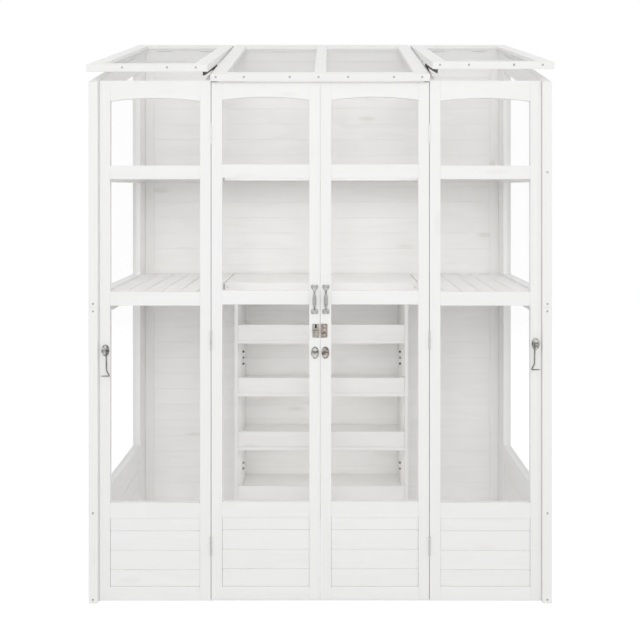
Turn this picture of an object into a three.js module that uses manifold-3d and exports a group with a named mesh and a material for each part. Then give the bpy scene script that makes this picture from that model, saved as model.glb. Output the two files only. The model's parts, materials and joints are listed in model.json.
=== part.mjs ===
// Wooden mini greenhouse: white painted frames, clear panes, two doors, two roof lids on
// folding stays, four side shelves, two fold-up shelves and a rack. Millimetres, +Z up,
// front towards -Y, origin on the ground at the middle of the overall box.
import * as THREE from 'three';
import { mergeVertices } from 'three/addons/utils/BufferGeometryUtils.js';
import Module from 'manifold-3d';

const wasm = await Module();
wasm.setup();

// House: overall sizes
const houseWidth = 1630;
const houseDepth = 721;
const sideThickness = 32;
const sideTopAtFront = 1836;
const sectionSeam = 1041;
const roofPitchDegrees = 18;
const fit = 0.3;
const cutOverrun = 5;

// Glazed front leaves and doors
const leafSetback = 18;
const leafThickness = 20;
const leafStile = 38;
const leafBottomRail = 50;
const leafBoardsTop = 292;
const leafSill = 347;
const leafMidRailLow = 1045;
const leafMidRailHigh = 1094;
const leafTopRailLow = 1493;
const leafTopRailHigh = 1541;
const leafSpringing = 1769;
const archRise = 11;
const frontLeafOuterGap = 1;
const meetingGap = 1.5;
const hingeGap = 2;
const doorHalfSpan = 385.5;
const doorLift = 4;
const doorBottom = 6;
const doorTop = 1836;

// Tongue and groove boards
const boardPitch = 69;
const boardTopLap = 46;
const boardRecess = 3;
const grooveWidth = 4;
const grooveDepth = 2.5;

// Clear panes, held in grooves in the middle of their frames
const paneThickness = 2.5;
const paneLap = 8;

// Side walls
const sideFrontStile = 75;
const sideRearStile = 111;
const sideBoardsTop = 292;
const sideSill = 351;
const sideLowerTopRail = 38;
const sideUpperBottomRail = 49;
const sideMidRailLow = 1483;
const sideMidRailHigh = 1541;
const sideSlopedRail = 70;
const sidePaneInset = 15;

// Back wall
const backThickness = 20;
const backStile = 38;
const backTopRail = 43;
const backBottomRail = 50;
const backBoardThickness = 12;

// Roof panels
const roofThickness = 24.6;
const roofLength = 781;
const roofRearOverhang = 18;
const roofSideRail = 52;
const roofEndRail = 50;
const roofMullion = 42;
const roofPastDoors = 0.5;
const roofMiddleHalfSpan = doorHalfSpan + roofPastDoors;
const lidSeam = 7.5;
const lidInnerEdge = roofMiddleHalfSpan + lidSeam;
const lidOverhang = 4;
const lidCornerRadius = 4;
const lidHingeSetback = 5;
const lidHingeDrop = 3;
const leftLidRaiseDegrees = 2.5;
const rightLidRaiseDegrees = 3.2;
const rafterWidth = 40;
const rafterHeight = 45;
const lidHingeRadius = 2.5;
const lidHingeLength = 60;
const lidHingeInset = 90;

// Folding lid stays
const stayLowerLength = 240;
const stayEarInset = 49;
const stayFootLead = 64;
const stayPivotReach = roofLength - roofRearOverhang - stayEarInset - stayFootLead;
const stayPivotDrop = 13;
const stayWidth = 12;
const stayThickness = 1.5;
const stayGap = 0.5;
const stayFootThickness = 3;
const stayRivetRadius = 3;
const stayFromRafter = 1.3;

// Shelves
const midShelfTop = 1080.5;
const topShelfTop = 1524;
const shelfRailHeight = 33;
const shelfRailThickness = 18;
const shelfSlatThickness = 12;
const shelfSlatPitch = 66;
const shelfSlatGap = 3;
const foldShelfPastDoors = 1.5;
const foldShelfHalfSpan = doorHalfSpan + foldShelfPastDoors;
const foldShelfSideGap = 4;
const sideShelfInner = foldShelfHalfSpan + foldShelfSideGap;
const foldShelfFront = 372;
const foldHingeRadius = 2.5;
const foldHingeLength = 60;
const foldHingeInset = 110;
const cleatThickness = 8;
const cleatReach = 16;
const cleatFrontGap = 2;
const cleatRearGap = 32;

// Rack against the back wall
const rackWidth = 701;
const rackFront = 403;
const rackHeight = 1030;
const rackSide = 13;
const rackBoard = 13.5;
const rackLipHeight = 61;
const rackLipThickness = 12;
const rackLipSetback = 3;
const rackLipTopShares = [0.8806, 0.6728, 0.4612, 0.2476];
const pegHoleRadius = 3.5;
const pegHoleInset = 176;
const pegHoleShares = [0.7398, 0.715, 0.6903, 0.2801, 0.2553];

// Door hinges
const hingeHeights = [194, 923, 1653];
const hingeLength = 68;
const hingeKnuckleRadius = 3;
const hingeStandoff = 0.3;
const hingePinRadius = 1.3;
const hingeLeafThickness = 0.6;
const hingeLeafDepth = 16;

// Door furniture
const pullOffset = 20;
const pullTop = 1122;
const pullBottom = 1014;
const pullProjection = 32;
const pullPlateWidth = 25;
const pullTopPlateHeight = 29;
const pullBottomPlateHeight = 19;
const pullPlateThickness = 2;
const pullGripRadius = 7;
const pullNeckRadius = 3;
const pullGripTop = 1088;
const pullGripBottom = 1042;
const gripOutlineShares = [
  [0, -1], [0.5, -1], [0.85, -0.65], [1, -0.3], [1, 0.15], [0.9, 0.6], [0.65, 0.85], [0.4, 1], [0, 1],
];
const topPlateWaistShare = 0.35;
const topPlateShoulderShare = 0.55;
const bottomPlateWaistShare = 0.1;
const bottomPlateShoulderShare = 0.3;
const plateCheekShare = 1.1;
const plateBrowShare = 0.95;
const plateCrownShare = 0.5;
const plateDimpleShare = 0.25;
const plateDimpleLevelShare = 0.88;
const eyePlateWidth = 27;
const eyePlateHeight = 42;
const eyePlateThickness = 2.5;
const eyePlateLevel = 879;
const eyePlateOffset = 18.2;
const eyeBarReach = 10;
const eyeBarSpan = 15;
const eyeWireRadius = 1.8;
const latchBottom = 932;
const latchHeight = 49;
const latchPlateWidth = 24.5;
const latchPlateThickness = 1.5;
const latchEdgeInset = 2.5;
const latchSlotWidth = 6;
const latchSlotHeight = 14;
const latchBoltRadius = 3;
const latchBoltLength = 23;
const latchBoltLevel = 955;
const latchStapleWall = 2;
const latchOuterStaple = 3;
const latchInnerStaple = 4;
const latchKeeperInset = 1;
const latchKnobRadius = 2;
const latchKnobReach = 8;
const latchClearance = 0.6;

// Cabin hooks on the outer front leaves
const leftHookInset = 22;
const rightHookInset = 20;
const leftHookLevel = 887;
const rightHookLevel = 910;
const hookPlateWidth = 27;
const hookPlateHeight = 40;
const hookEyeRadius = 4.6;
const hookWireRadius = 1.9;
const hookShank = 63.5;
const hookKinkDrop = 20;
const hookKinkReach = 12;
const hookTipReach = 31;
const hookKinkShare = 0.6;
const hookBarReach = 10;
const hookBarSpan = 20;
const hookEyeSide = 6;

// Counts of facets on round work
const wireSides = 8;
const wireSteps = 14;
const rodSides = 12;
const curveSteps = 6;

const roofPitch = THREE.MathUtils.degToRad(roofPitchDegrees);
const halfHouse = houseWidth / 2;
const sideInner = halfHouse - sideThickness;
const frontLeafOuter = sideInner - frontLeafOuterGap;
const leafBack = leafSetback + leafThickness;
const backFace = houseDepth - backThickness;
const sideSeat = (y) => sideTopAtFront + y * Math.tan(roofPitch);
const roofSeat = (y) => sideSeat(y) + (2 * fit) / Math.cos(roofPitch);

const whitePaint = (shade) => new THREE.MeshStandardMaterial({
  color: shade, roughness: 0.55, metalness: 0,
});
const clearPane = () => new THREE.MeshStandardMaterial({
  color: 0xeef1f0, roughness: 0.12, metalness: 0, transparent: true, opacity: 0.3,
});
const nickel = () => new THREE.MeshStandardMaterial({
  color: 0x9a9894, roughness: 0.35, metalness: 0.9,
});
const darkSteel = () => new THREE.MeshStandardMaterial({
  color: 0x4e4e4e, roughness: 0.45, metalness: 0.8,
});
const agedZinc = () => new THREE.MeshStandardMaterial({
  color: 0x8d8479, roughness: 0.4, metalness: 0.85,
});
const frameWhite = 0xf4f4f3;
const boardWhite = 0xe9e7e4;

// Closed geometry to solid, turned right way out if its faces point in
function solidOf(geometry) {
  const plain = geometry.clone();
  plain.deleteAttribute('normal');
  plain.deleteAttribute('uv');
  const merged = mergeVertices(plain);
  const vertProperties = new Float32Array(merged.attributes.position.array);
  const triVerts = new Uint32Array(merged.index.array);
  const mesh = { numProp: 3, vertProperties, triVerts };
  const solid = new wasm.Manifold(new wasm.Mesh(mesh));
  if (solid.volume() > 0) return solid;
  mesh.triVerts = triVerts.map((_, i) => triVerts[i - (i % 3) + (2 - (i % 3))]);
  return new wasm.Manifold(new wasm.Mesh(mesh));
}

function meshOf(name, solid, material) {
  const { vertProperties, triVerts } = solid.getMesh();
  const geometry = new THREE.BufferGeometry();
  geometry.setAttribute('position', new THREE.BufferAttribute(vertProperties, 3));
  geometry.setIndex(new THREE.BufferAttribute(triVerts, 1));
  geometry.computeVertexNormals();
  const mesh = new THREE.Mesh(geometry, material);
  mesh.name = name;
  return mesh;
}

const joined = (solids) => solids.reduce((all, next) => all.add(next));
const cutFrom = (solid, tools) => tools.reduce((rest, tool) => rest.subtract(tool), solid);

// Block between two corners, given in any order
function block(xa, xb, ya, yb, za, zb) {
  const geometry = new THREE.BoxGeometry(Math.abs(xb - xa), Math.abs(yb - ya), Math.abs(zb - za));
  geometry.translate((xa + xb) / 2, (ya + yb) / 2, (za + zb) / 2);
  return solidOf(geometry);
}

const towardsX = new THREE.Matrix4().makeBasis(
  new THREE.Vector3(0, 1, 0), new THREE.Vector3(0, 0, 1), new THREE.Vector3(1, 0, 0));
const towardsFront = new THREE.Matrix4().makeBasis(
  new THREE.Vector3(1, 0, 0), new THREE.Vector3(0, 0, 1), new THREE.Vector3(0, -1, 0));

// Outline in Y and Z, extruded from one X to another
function slabX(outline, xa, xb) {
  const options = { depth: Math.abs(xb - xa), bevelEnabled: false, curveSegments: curveSteps };
  const geometry = new THREE.ExtrudeGeometry(outline, options).applyMatrix4(towardsX);
  return solidOf(geometry.translate(Math.min(xa, xb), 0, 0));
}

// Outline in X and Z, extruded from a front face back to a rear face
function slabY(outline, front, rear) {
  const options = { depth: rear - front, bevelEnabled: false, curveSegments: curveSteps };
  const geometry = new THREE.ExtrudeGeometry(outline, options).applyMatrix4(towardsFront);
  return solidOf(geometry.translate(0, rear, 0));
}

// Outline in X and Y, extruded upwards
function slabZ(outline, bottom, top) {
  const options = { depth: top - bottom, bevelEnabled: false, curveSegments: curveSteps };
  return solidOf(new THREE.ExtrudeGeometry(outline, options).translate(0, 0, bottom));
}

function polygon(points) {
  return new THREE.Shape(points.map(([u, v]) => new THREE.Vector2(u, v)));
}

function rectangle(ua, ub, va, vb) {
  return polygon([[ua, va], [ub, va], [ub, vb], [ua, vb]]);
}

function ellipse(width, height) {
  const shape = new THREE.Shape();
  shape.absellipse(0, 0, width / 2, height / 2, 0, 2 * Math.PI, false, 0);
  return shape;
}

// Round rod from one point to another
function rod(from, to, radius, sides = rodSides) {
  const run = new THREE.Vector3().subVectors(to, from);
  const geometry = new THREE.CylinderGeometry(radius, radius, run.length(), sides);
  const turn = new THREE.Quaternion().setFromUnitVectors(
    new THREE.Vector3(0, 1, 0), run.clone().normalize());
  const middle = new THREE.Vector3().addVectors(from, to).multiplyScalar(0.5);
  geometry.applyQuaternion(turn).translate(middle.x, middle.y, middle.z);
  return solidOf(geometry);
}

function ball(centre, radius) {
  const geometry = new THREE.SphereGeometry(radius, wireSides, wireSides / 2);
  return solidOf(geometry.translate(centre.x, centre.y, centre.z));
}

// Bent wire through a list of points
function wire(points, radius, steps = wireSteps) {
  const circle = new THREE.Shape();
  circle.absarc(0, 0, radius, 0, 2 * Math.PI, false);
  const options = {
    steps, curveSegments: wireSides / 2, bevelEnabled: false,
    extrudePath: new THREE.CatmullRomCurve3(points, false, 'centripetal'),
  };
  return solidOf(new THREE.ExtrudeGeometry(circle, options));
}

const at = (x, y, z) => new THREE.Vector3(x, y, z);

// Outline of the V joint between two boards, seen along the boards
function boardNotch(face, outward, level) {
  const mouth = (grooveWidth / 2) * ((grooveDepth + cutOverrun) / grooveDepth);
  return polygon([
    [face + outward * cutOverrun, level - mouth],
    [face - outward * grooveDepth, level],
    [face + outward * cutOverrun, level + mouth],
  ]);
}

function boardLevels(top, firstLap, bottom) {
  const levels = [];
  for (let z = top - firstLap; z > bottom + grooveWidth; z -= boardPitch) levels.push(z);
  return levels;
}

// Opening with a low segmental arch at its head
function archedOpening(xa, xb, bottom, springing) {
  const hole = new THREE.Shape();
  hole.moveTo(xa, bottom);
  hole.lineTo(xb, bottom);
  hole.lineTo(xb, springing);
  hole.quadraticCurveTo((xa + xb) / 2, springing + 2 * archRise, xa, springing);
  hole.closePath();
  return hole;
}

// Front leaf with three panes over boards, between two X values
function glazedLeaf(xa, xb, bottom, top, lift) {
  const left = Math.min(xa, xb);
  const right = Math.max(xa, xb);
  const innerLeft = left + leafStile;
  const innerRight = right - leafStile;
  const openings = [
    rectangle(innerLeft, innerRight, leafSill + lift, leafMidRailLow + lift),
    rectangle(innerLeft, innerRight, leafMidRailHigh + lift, leafTopRailLow + lift),
    archedOpening(innerLeft, innerRight, leafTopRailHigh + lift, leafSpringing + lift),
  ].map((outline) => slabY(outline, leafSetback - cutOverrun, leafBack + cutOverrun));
  const body = block(left, right, leafSetback, leafBack, bottom, top);

  const paneMiddle = leafSetback + leafThickness / 2;
  const paneSize = (grow) => [
    innerLeft - paneLap - grow, innerRight + paneLap + grow,
    paneMiddle - paneThickness / 2 - grow, paneMiddle + paneThickness / 2 + grow,
    leafSill + lift - paneLap - grow, leafSpringing + lift + archRise + paneLap + grow,
  ];
  const boardsTop = leafBoardsTop + lift;
  const levels = boardLevels(boardsTop, boardTopLap, leafBottomRail);
  const recess = (face, outward) => {
    const floor = face - outward * boardRecess;
    const joints = levels.map((level) => slabX(boardNotch(floor, outward, level), innerLeft, innerRight));
    const field = block(innerLeft, innerRight, floor, face + outward * cutOverrun,
      leafBottomRail, boardsTop);
    return [field, ...joints];
  };
  const frame = cutFrom(body, [
    ...openings, block(...paneSize(fit)), ...recess(leafSetback, -1), ...recess(leafBack, 1),
  ]);
  return { frame, pane: block(...paneSize(0)) };
}

// Side wall sections, for the left or right by sign
function sideLower(sign) {
  const inner = sign * sideInner;
  const outer = sign * halfHouse;
  const openFront = sideFrontStile;
  const openRear = houseDepth - sideRearStile;
  const top = sectionSeam - fit;
  const opening = block(inner - sign * cutOverrun, outer + sign * cutOverrun, openFront, openRear,
    sideSill, sectionSeam - sideLowerTopRail);
  const paneFace = sign * (sideInner + sidePaneInset);
  const paneSize = (grow) => [
    paneFace - sign * grow, paneFace + sign * (paneThickness + grow),
    openFront - paneLap - grow, openRear + paneLap + grow,
    sideSill - paneLap - grow, sectionSeam - sideLowerTopRail + paneLap + grow,
  ];
  const levels = boardLevels(sideBoardsTop, boardTopLap, leafBottomRail);
  const recess = (face, outward) => {
    const floor = face - outward * boardRecess;
    const joints = levels.map((level) => slabY(boardNotch(floor, outward, level), openFront, openRear));
    const field = block(floor, face + outward * cutOverrun, openFront, openRear,
      leafBottomRail, sideBoardsTop);
    return [field, ...joints];
  };
  const frame = cutFrom(block(inner, outer, 0, houseDepth, 0, top), [
    opening, block(...paneSize(fit)), ...recess(inner, -sign), ...recess(outer, sign),
  ]);
  return { frame, pane: block(...paneSize(0)) };
}

function sideUpper(sign) {
  const openFront = sideFrontStile;
  const openRear = houseDepth - sideRearStile;
  const slopeAt = (y, drop) => sideSeat(y) - drop;
  const outline = polygon([
    [0, sectionSeam], [houseDepth, sectionSeam],
    [houseDepth, slopeAt(houseDepth, 0)], [0, slopeAt(0, 0)],
  ]);
  const sill = sectionSeam + sideUpperBottomRail;
  const inner = sign * sideInner;
  const outer = sign * halfHouse;
  const openings = [
    rectangle(openFront, openRear, sill, sideMidRailLow),
    polygon([
      [openFront, sideMidRailHigh], [openRear, sideMidRailHigh],
      [openRear, slopeAt(openRear, sideSlopedRail)], [openFront, slopeAt(openFront, sideSlopedRail)],
    ]),
  ].map((opening) => slabX(opening, inner - sign * cutOverrun, outer + sign * cutOverrun));
  const paneFace = sign * (sideInner + sidePaneInset);
  const paneOutline = (grow) => {
    const front = openFront - paneLap - grow;
    const rear = openRear + paneLap + grow;
    const head = sideSlopedRail - paneLap - grow;
    return polygon([
      [front, sill - paneLap - grow], [rear, sill - paneLap - grow],
      [rear, slopeAt(rear, head)], [front, slopeAt(front, head)],
    ]);
  };
  const paneSlab = (grow) => slabX(paneOutline(grow),
    paneFace - sign * grow, paneFace + sign * (paneThickness + grow));
  const frame = cutFrom(slabX(outline, inner, outer), [...openings, paneSlab(fit)]);
  return { frame, pane: paneSlab(0) };
}

// Back wall: one frame, and one field of boards let into its groove
function backWall() {
  const half = sideInner - fit;
  const top = sideSeat(backFace) - fit;
  const boardsTop = top - backTopRail;
  const opening = block(-half + backStile, half - backStile, backFace - cutOverrun,
    houseDepth + cutOverrun, backBottomRail, boardsTop);
  const middle = backFace + backThickness / 2;
  const fieldSize = (grow) => [
    -half + backStile - paneLap - grow, half - backStile + paneLap + grow,
    middle - backBoardThickness / 2 - grow, middle + backBoardThickness / 2 + grow,
    backBottomRail - paneLap - grow, boardsTop + paneLap + grow,
  ];
  const frame = cutFrom(block(-half, half, backFace, houseDepth, 0, top),
    [opening, block(...fieldSize(fit))]);
  const levels = boardLevels(boardsTop, boardPitch, backBottomRail);
  const [from, to, frontFace, rearFace] = fieldSize(0);
  const joints = levels.flatMap((level) => [
    boardNotch(frontFace, -1, level), boardNotch(rearFace, 1, level),
  ]);
  const boards = cutFrom(block(...fieldSize(0)),
    joints.map((notch) => slabX(notch, from - cutOverrun, to + cutOverrun)));
  return { frame, boards };
}

// Roof panel lying flat in the roof's own axes: X, along the slope, and square to it
function roofPanel(xa, xb, mullions) {
  const left = Math.min(xa, xb);
  const right = Math.max(xa, xb);
  const rear = roofRearOverhang;
  const front = rear - roofLength;
  const bottom = lidHingeDrop;
  const middle = bottom + roofThickness / 2;
  const corner = lidCornerRadius;
  const outline = new THREE.Shape();
  outline.moveTo(left + corner, front);
  outline.lineTo(right - corner, front);
  outline.quadraticCurveTo(right, front, right, front + corner);
  outline.lineTo(right, rear);
  outline.lineTo(left, rear);
  outline.lineTo(left, front + corner);
  outline.quadraticCurveTo(left, front, left + corner, front);
  const bay = (right - left - 2 * roofSideRail - mullions * roofMullion) / (mullions + 1);
  const openings = [];
  for (let i = 0; i <= mullions; i += 1) {
    const from = left + roofSideRail + i * (bay + roofMullion);
    openings.push(block(from, from + bay, front + roofEndRail, rear - roofEndRail,
      bottom - cutOverrun, bottom + roofThickness + cutOverrun));
  }
  const paneSize = (grow) => [
    left + roofSideRail - paneLap - grow, right - roofSideRail + paneLap + grow,
    front + roofEndRail - paneLap - grow, rear - roofEndRail + paneLap + grow,
    middle - paneThickness / 2 - grow, middle + paneThickness / 2 + grow,
  ];
  const body = slabZ(outline, bottom, bottom + roofThickness);
  const frame = cutFrom(body, [...openings, block(...paneSize(fit))]);
  return { frame, pane: block(...paneSize(0)) };
}

const lidHingeY = houseDepth + lidHingeSetback;
const lidHingeZ = roofSeat(lidHingeY) - lidHingeDrop / Math.cos(roofPitch);

// Rafter under each seam of the roof
function rafter(sign) {
  const middle = (roofMiddleHalfSpan + lidInnerEdge) / 2;
  const front = leafBack + fit;
  const rear = backFace - fit;
  const outline = polygon([
    [front, sideSeat(front) - rafterHeight], [rear, sideSeat(rear) - rafterHeight],
    [rear, sideSeat(rear)], [front, sideSeat(front)],
  ]);
  return slabX(outline, sign * (middle - rafterWidth / 2), sign * (middle + rafterWidth / 2));
}

// Slatted shelf: rails round its edge, slats running front to back or side to side
function shelf({ left, right, front, rear, top, slatsAcross, sideRailLift }) {
  const bottom = top - shelfRailHeight;
  const railTop = top - shelfSlatThickness;
  const rail = shelfRailThickness;
  const parts = [
    block(left, right, front, front + rail, bottom, top),
    block(left, right, rear - rail, rear, bottom, railTop),
    block(left, left + rail, front, rear, bottom + sideRailLift, railTop),
    block(right - rail, right, front, rear, bottom + sideRailLift, railTop),
  ];
  const slatFront = front + rail / 2;
  if (slatsAcross) {
    const count = Math.round((rear - slatFront) / shelfSlatPitch);
    const pitch = (rear - slatFront + shelfSlatGap) / count;
    for (let i = 0; i < count; i += 1) {
      const from = slatFront + i * pitch;
      parts.push(block(left, right, from, from + pitch - shelfSlatGap, railTop, top));
    }
  } else {
    const count = Math.round((right - left) / shelfSlatPitch);
    const pitch = (right - left + shelfSlatGap) / count;
    for (let i = 0; i < count; i += 1) {
      const from = left + i * pitch;
      parts.push(block(from, from + pitch - shelfSlatGap, slatFront, rear, railTop, top));
    }
  }
  return joined(parts);
}

// Side shelf with the cleat that the fold-up shelf beside it rests on, hidden behind that shelf's front rail
function sideShelf(sign, top) {
  const outer = sideInner - fit;
  const inner = sideShelfInner;
  const tray = shelf({
    left: Math.min(sign * outer, sign * inner), right: Math.max(sign * outer, sign * inner),
    front: leafBack + fit, rear: backFace - fit, top, slatsAcross: false, sideRailLift: 0,
  });
  const under = top - shelfRailHeight;
  const cleat = block(sign * (foldShelfHalfSpan - cleatReach), sign * (inner + cleatReach),
    foldShelfFront + shelfRailThickness + cleatFrontGap, backFace - foldAxisSetback - cleatRearGap,
    under, under + cleatThickness);
  return tray.add(cleat);
}

const foldAxisDrop = foldHingeRadius;
const foldAxisSetback = foldHingeRadius + 2 * fit;

// Fold-up middle shelf with hinge knuckles along its rear top edge
function foldShelf(top) {
  const rear = backFace - foldAxisSetback;
  const tray = shelf({
    left: -foldShelfHalfSpan, right: foldShelfHalfSpan,
    front: foldShelfFront, rear, top, slatsAcross: true, sideRailLift: cleatThickness + fit,
  });
  const knuckles = [-1, 1].map((sign) => {
    const middle = sign * (foldShelfHalfSpan - foldHingeInset);
    return rod(at(middle - foldHingeLength / 2, rear, top + foldAxisDrop),
      at(middle + foldHingeLength / 2, rear, top + foldAxisDrop), foldHingeRadius);
  });
  const leaves = [-1, 1].map((sign) => {
    const middle = sign * (foldShelfHalfSpan - foldHingeInset);
    return block(middle - foldHingeLength / 2, middle + foldHingeLength / 2,
      rear - shelfRailThickness, rear, top - fit, top + foldHingeRadius / 2);
  });
  return joined([tray, ...knuckles, ...leaves]);
}

// Upright of the rack, with its peg holes
function rackUpright(sign) {
  const outer = rackWidth / 2;
  const board = block(sign * (outer - rackSide), sign * outer, rackFront, backFace - fit, 0, rackHeight);
  const holes = pegHoleShares.map((share) => {
    const from = at(sign * (outer - rackSide - cutOverrun), rackFront + pegHoleInset, share * rackHeight);
    return rod(from, at(sign * (outer + cutOverrun), from.y, from.z), pegHoleRadius, wireSides);
  });
  return cutFrom(board, holes);
}

// Rack shelf: a board with a lip standing just behind its front edge
function rackShelf(lipTop) {
  const half = rackWidth / 2 - rackSide - fit;
  const boardTop = lipTop - rackLipHeight;
  const rear = backFace - fit;
  const lipFront = rackFront + rackLipSetback;
  const profile = polygon([
    [rackFront, boardTop - rackBoard], [rear, boardTop - rackBoard], [rear, boardTop],
    [lipFront + rackLipThickness, boardTop], [lipFront + rackLipThickness, lipTop],
    [lipFront, lipTop], [lipFront, boardTop], [rackFront, boardTop],
  ]);
  return slabX(profile, -half, half);
}

const hingeAxisX = (doorHalfSpan + doorHalfSpan + hingeGap) / 2;
const hingeAxisY = leafSetback - hingeStandoff - hingeKnuckleRadius;

// Fixed half of a door hinge: leaf in the gap, two outer knuckles and the pin
function hingeFixedHalf(sign, level) {
  const axisX = sign * hingeAxisX;
  const bottom = level - hingeLength / 2;
  const third = hingeLength / 3;
  const leafX = sign * (doorHalfSpan + hingeGap - fit);
  const leafInner = leafX - sign * hingeLeafThickness;
  const leaf = block(leafX, leafInner, hingeAxisY, hingeAxisY + hingeLeafDepth,
    bottom, bottom + hingeLength);
  const notch = block(axisX - hingeKnuckleRadius - fit, axisX + hingeKnuckleRadius + fit,
    hingeAxisY - hingeKnuckleRadius - fit, hingeAxisY + hingeKnuckleRadius + fit,
    bottom + third - fit, bottom + 2 * third + fit);
  const knuckle = (from, to) => rod(
    at(axisX, hingeAxisY, from), at(axisX, hingeAxisY, to), hingeKnuckleRadius);
  const pin = rod(at(axisX, hingeAxisY, bottom), at(axisX, hingeAxisY, bottom + hingeLength),
    hingePinRadius, wireSides);
  return leaf.subtract(notch).add(knuckle(bottom, bottom + third))
    .add(knuckle(bottom + 2 * third, bottom + hingeLength)).add(pin);
}

// Door half of a hinge: its leaf lies on the door's edge, with one bored knuckle
function hingeDoorHalf(sign, level) {
  const axisX = sign * hingeAxisX;
  const third = hingeLength / 3;
  const low = level - third / 2 + fit;
  const high = level + third / 2 - fit;
  const edge = sign * doorHalfSpan;
  const leaf = block(edge - sign * hingeLeafThickness, edge + sign * hingeLeafThickness,
    hingeAxisY, hingeAxisY + hingeLeafDepth, low, high);
  const knuckle = rod(at(axisX, hingeAxisY, low), at(axisX, hingeAxisY, high), hingeKnuckleRadius);
  const bore = rod(at(axisX, hingeAxisY, low - cutOverrun), at(axisX, hingeAxisY, high + cutOverrun),
    hingePinRadius + fit, wireSides);
  return leaf.add(knuckle).subtract(bore);
}

// Leaf-shaped end plate of a pull, from its neck at the origin up to a lobed head
function pullPlate(width, height, neck, waistShare, shoulderShare) {
  const shape = new THREE.Shape();
  const half = width / 2;
  const waist = height * waistShare;
  const shoulder = height * shoulderShare;
  const cheek = half * plateCheekShare;
  const brow = height * plateBrowShare;
  const crown = half * plateCrownShare;
  const dimple = half * plateDimpleShare;
  const dimpleLevel = height * plateDimpleLevelShare;
  shape.moveTo(-neck, 0);
  shape.quadraticCurveTo(-neck, waist, -half, shoulder);
  shape.bezierCurveTo(-cheek, brow, -crown, height, -dimple, dimpleLevel);
  shape.quadraticCurveTo(0, height, dimple, dimpleLevel);
  shape.bezierCurveTo(crown, height, cheek, brow, half, shoulder);
  shape.quadraticCurveTo(neck, waist, neck, 0);
  shape.closePath();
  return shape;
}

// Door pull: two leaf plates, bowed necks and a swelling grip
function pull(x) {
  const face = leafSetback - fit;
  const plateFront = face - pullPlateThickness;
  const gripY = leafSetback - pullProjection + pullGripRadius;
  const topNeck = pullTop - pullTopPlateHeight;
  const bottomNeck = pullBottom + pullBottomPlateHeight;
  const topShape = pullPlate(
    pullPlateWidth, pullTopPlateHeight, pullNeckRadius, topPlateWaistShare, topPlateShoulderShare);
  const bottomShape = pullPlate(
    pullPlateWidth, pullBottomPlateHeight, pullNeckRadius, bottomPlateWaistShare, bottomPlateShoulderShare);
  const topPlate = slabY(topShape, plateFront, face).translate([x, 0, topNeck]);
  const bottomPlate = slabY(bottomShape, plateFront, face).mirror([0, 0, 1]).translate([x, 0, bottomNeck]);
  const bow = wire([
    at(x, face - pullPlateThickness / 2, bottomNeck - pullNeckRadius),
    at(x, (gripY + plateFront) / 2, bottomNeck + pullNeckRadius / 2),
    at(x, gripY, pullGripBottom), at(x, gripY, pullGripTop),
    at(x, (gripY + plateFront) / 2, topNeck + pullNeckRadius / 2),
    at(x, face - pullPlateThickness / 2, topNeck + 2 * pullNeckRadius),
  ], pullNeckRadius, 2 * wireSteps);
  const half = (pullGripTop - pullGripBottom) / 2;
  const profile = gripOutlineShares.map(([r, z]) => new THREE.Vector2(r * pullGripRadius, z * half));
  const grip = solidOf(new THREE.LatheGeometry(profile, rodSides).rotateX(Math.PI / 2)
    .translate(x, gripY, pullGripBottom + half));
  return joined([topPlate, bottomPlate, bow, grip]);
}

// Square staple: a wire bar held out from a plate on two legs
function staple(x, z, plateFront, reach, span, radius) {
  const barY = plateFront - reach;
  const left = at(x - span / 2, barY, z);
  const right = at(x + span / 2, barY, z);
  const legs = [left, right].map((corner) => rod(
    corner, at(corner.x, plateFront + fit, z), radius, wireSides).add(ball(corner, radius)));
  return joined([rod(left, right, radius, wireSides), ...legs]);
}

function ovalPlate(x, z, width, height) {
  const face = leafSetback - fit;
  return slabY(ellipse(width, height), face - eyePlateThickness, face).translate([x, 0, z]);
}

function eyePlate(x) {
  const plate = ovalPlate(x, eyePlateLevel, eyePlateWidth, eyePlateHeight);
  const plateFront = leafSetback - fit - eyePlateThickness;
  return plate.add(staple(x, eyePlateLevel, plateFront, eyeBarReach, eyeBarSpan, eyeWireRadius));
}

const boltY = leafSetback - fit - latchPlateThickness - latchClearance - latchBoltRadius;

// Staple with a bore that guides or receives the latch bolt
function boltGuide(x, width) {
  const face = leafSetback - fit;
  const outer = latchBoltRadius + latchClearance + latchStapleWall;
  const body = block(x, x + width, boltY - outer, face - latchPlateThickness / 2,
    latchBoltLevel - outer, latchBoltLevel + outer);
  const bore = rod(at(x - cutOverrun, boltY, latchBoltLevel),
    at(x + width + cutOverrun, boltY, latchBoltLevel), latchBoltRadius + latchClearance);
  return body.subtract(bore);
}

function latchBase() {
  const face = leafSetback - fit;
  const right = -meetingGap / 2 - latchEdgeInset;
  const left = right - latchPlateWidth;
  const top = latchBottom + latchHeight;
  const plate = block(left, right, face - latchPlateThickness, face, latchBottom, top);
  const slotLeft = left + (latchPlateWidth - latchSlotWidth) / 2;
  const slot = block(slotLeft, slotLeft + latchSlotWidth, face - latchPlateThickness - cutOverrun,
    face + cutOverrun, top - latchStapleWall - latchSlotHeight, top - latchStapleWall);
  return plate.subtract(slot).add(boltGuide(left, latchOuterStaple))
    .add(boltGuide(right - latchInnerStaple, latchInnerStaple));
}

function latchKeeper() {
  const face = leafSetback - fit;
  const left = meetingGap / 2 + fit;
  const right = left + latchPlateWidth;
  const plate = block(left, right, face - latchPlateThickness, face,
    latchBottom + fit, latchBottom + latchHeight);
  return plate.add(boltGuide(left + latchKeeperInset, latchOuterStaple));
}

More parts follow.
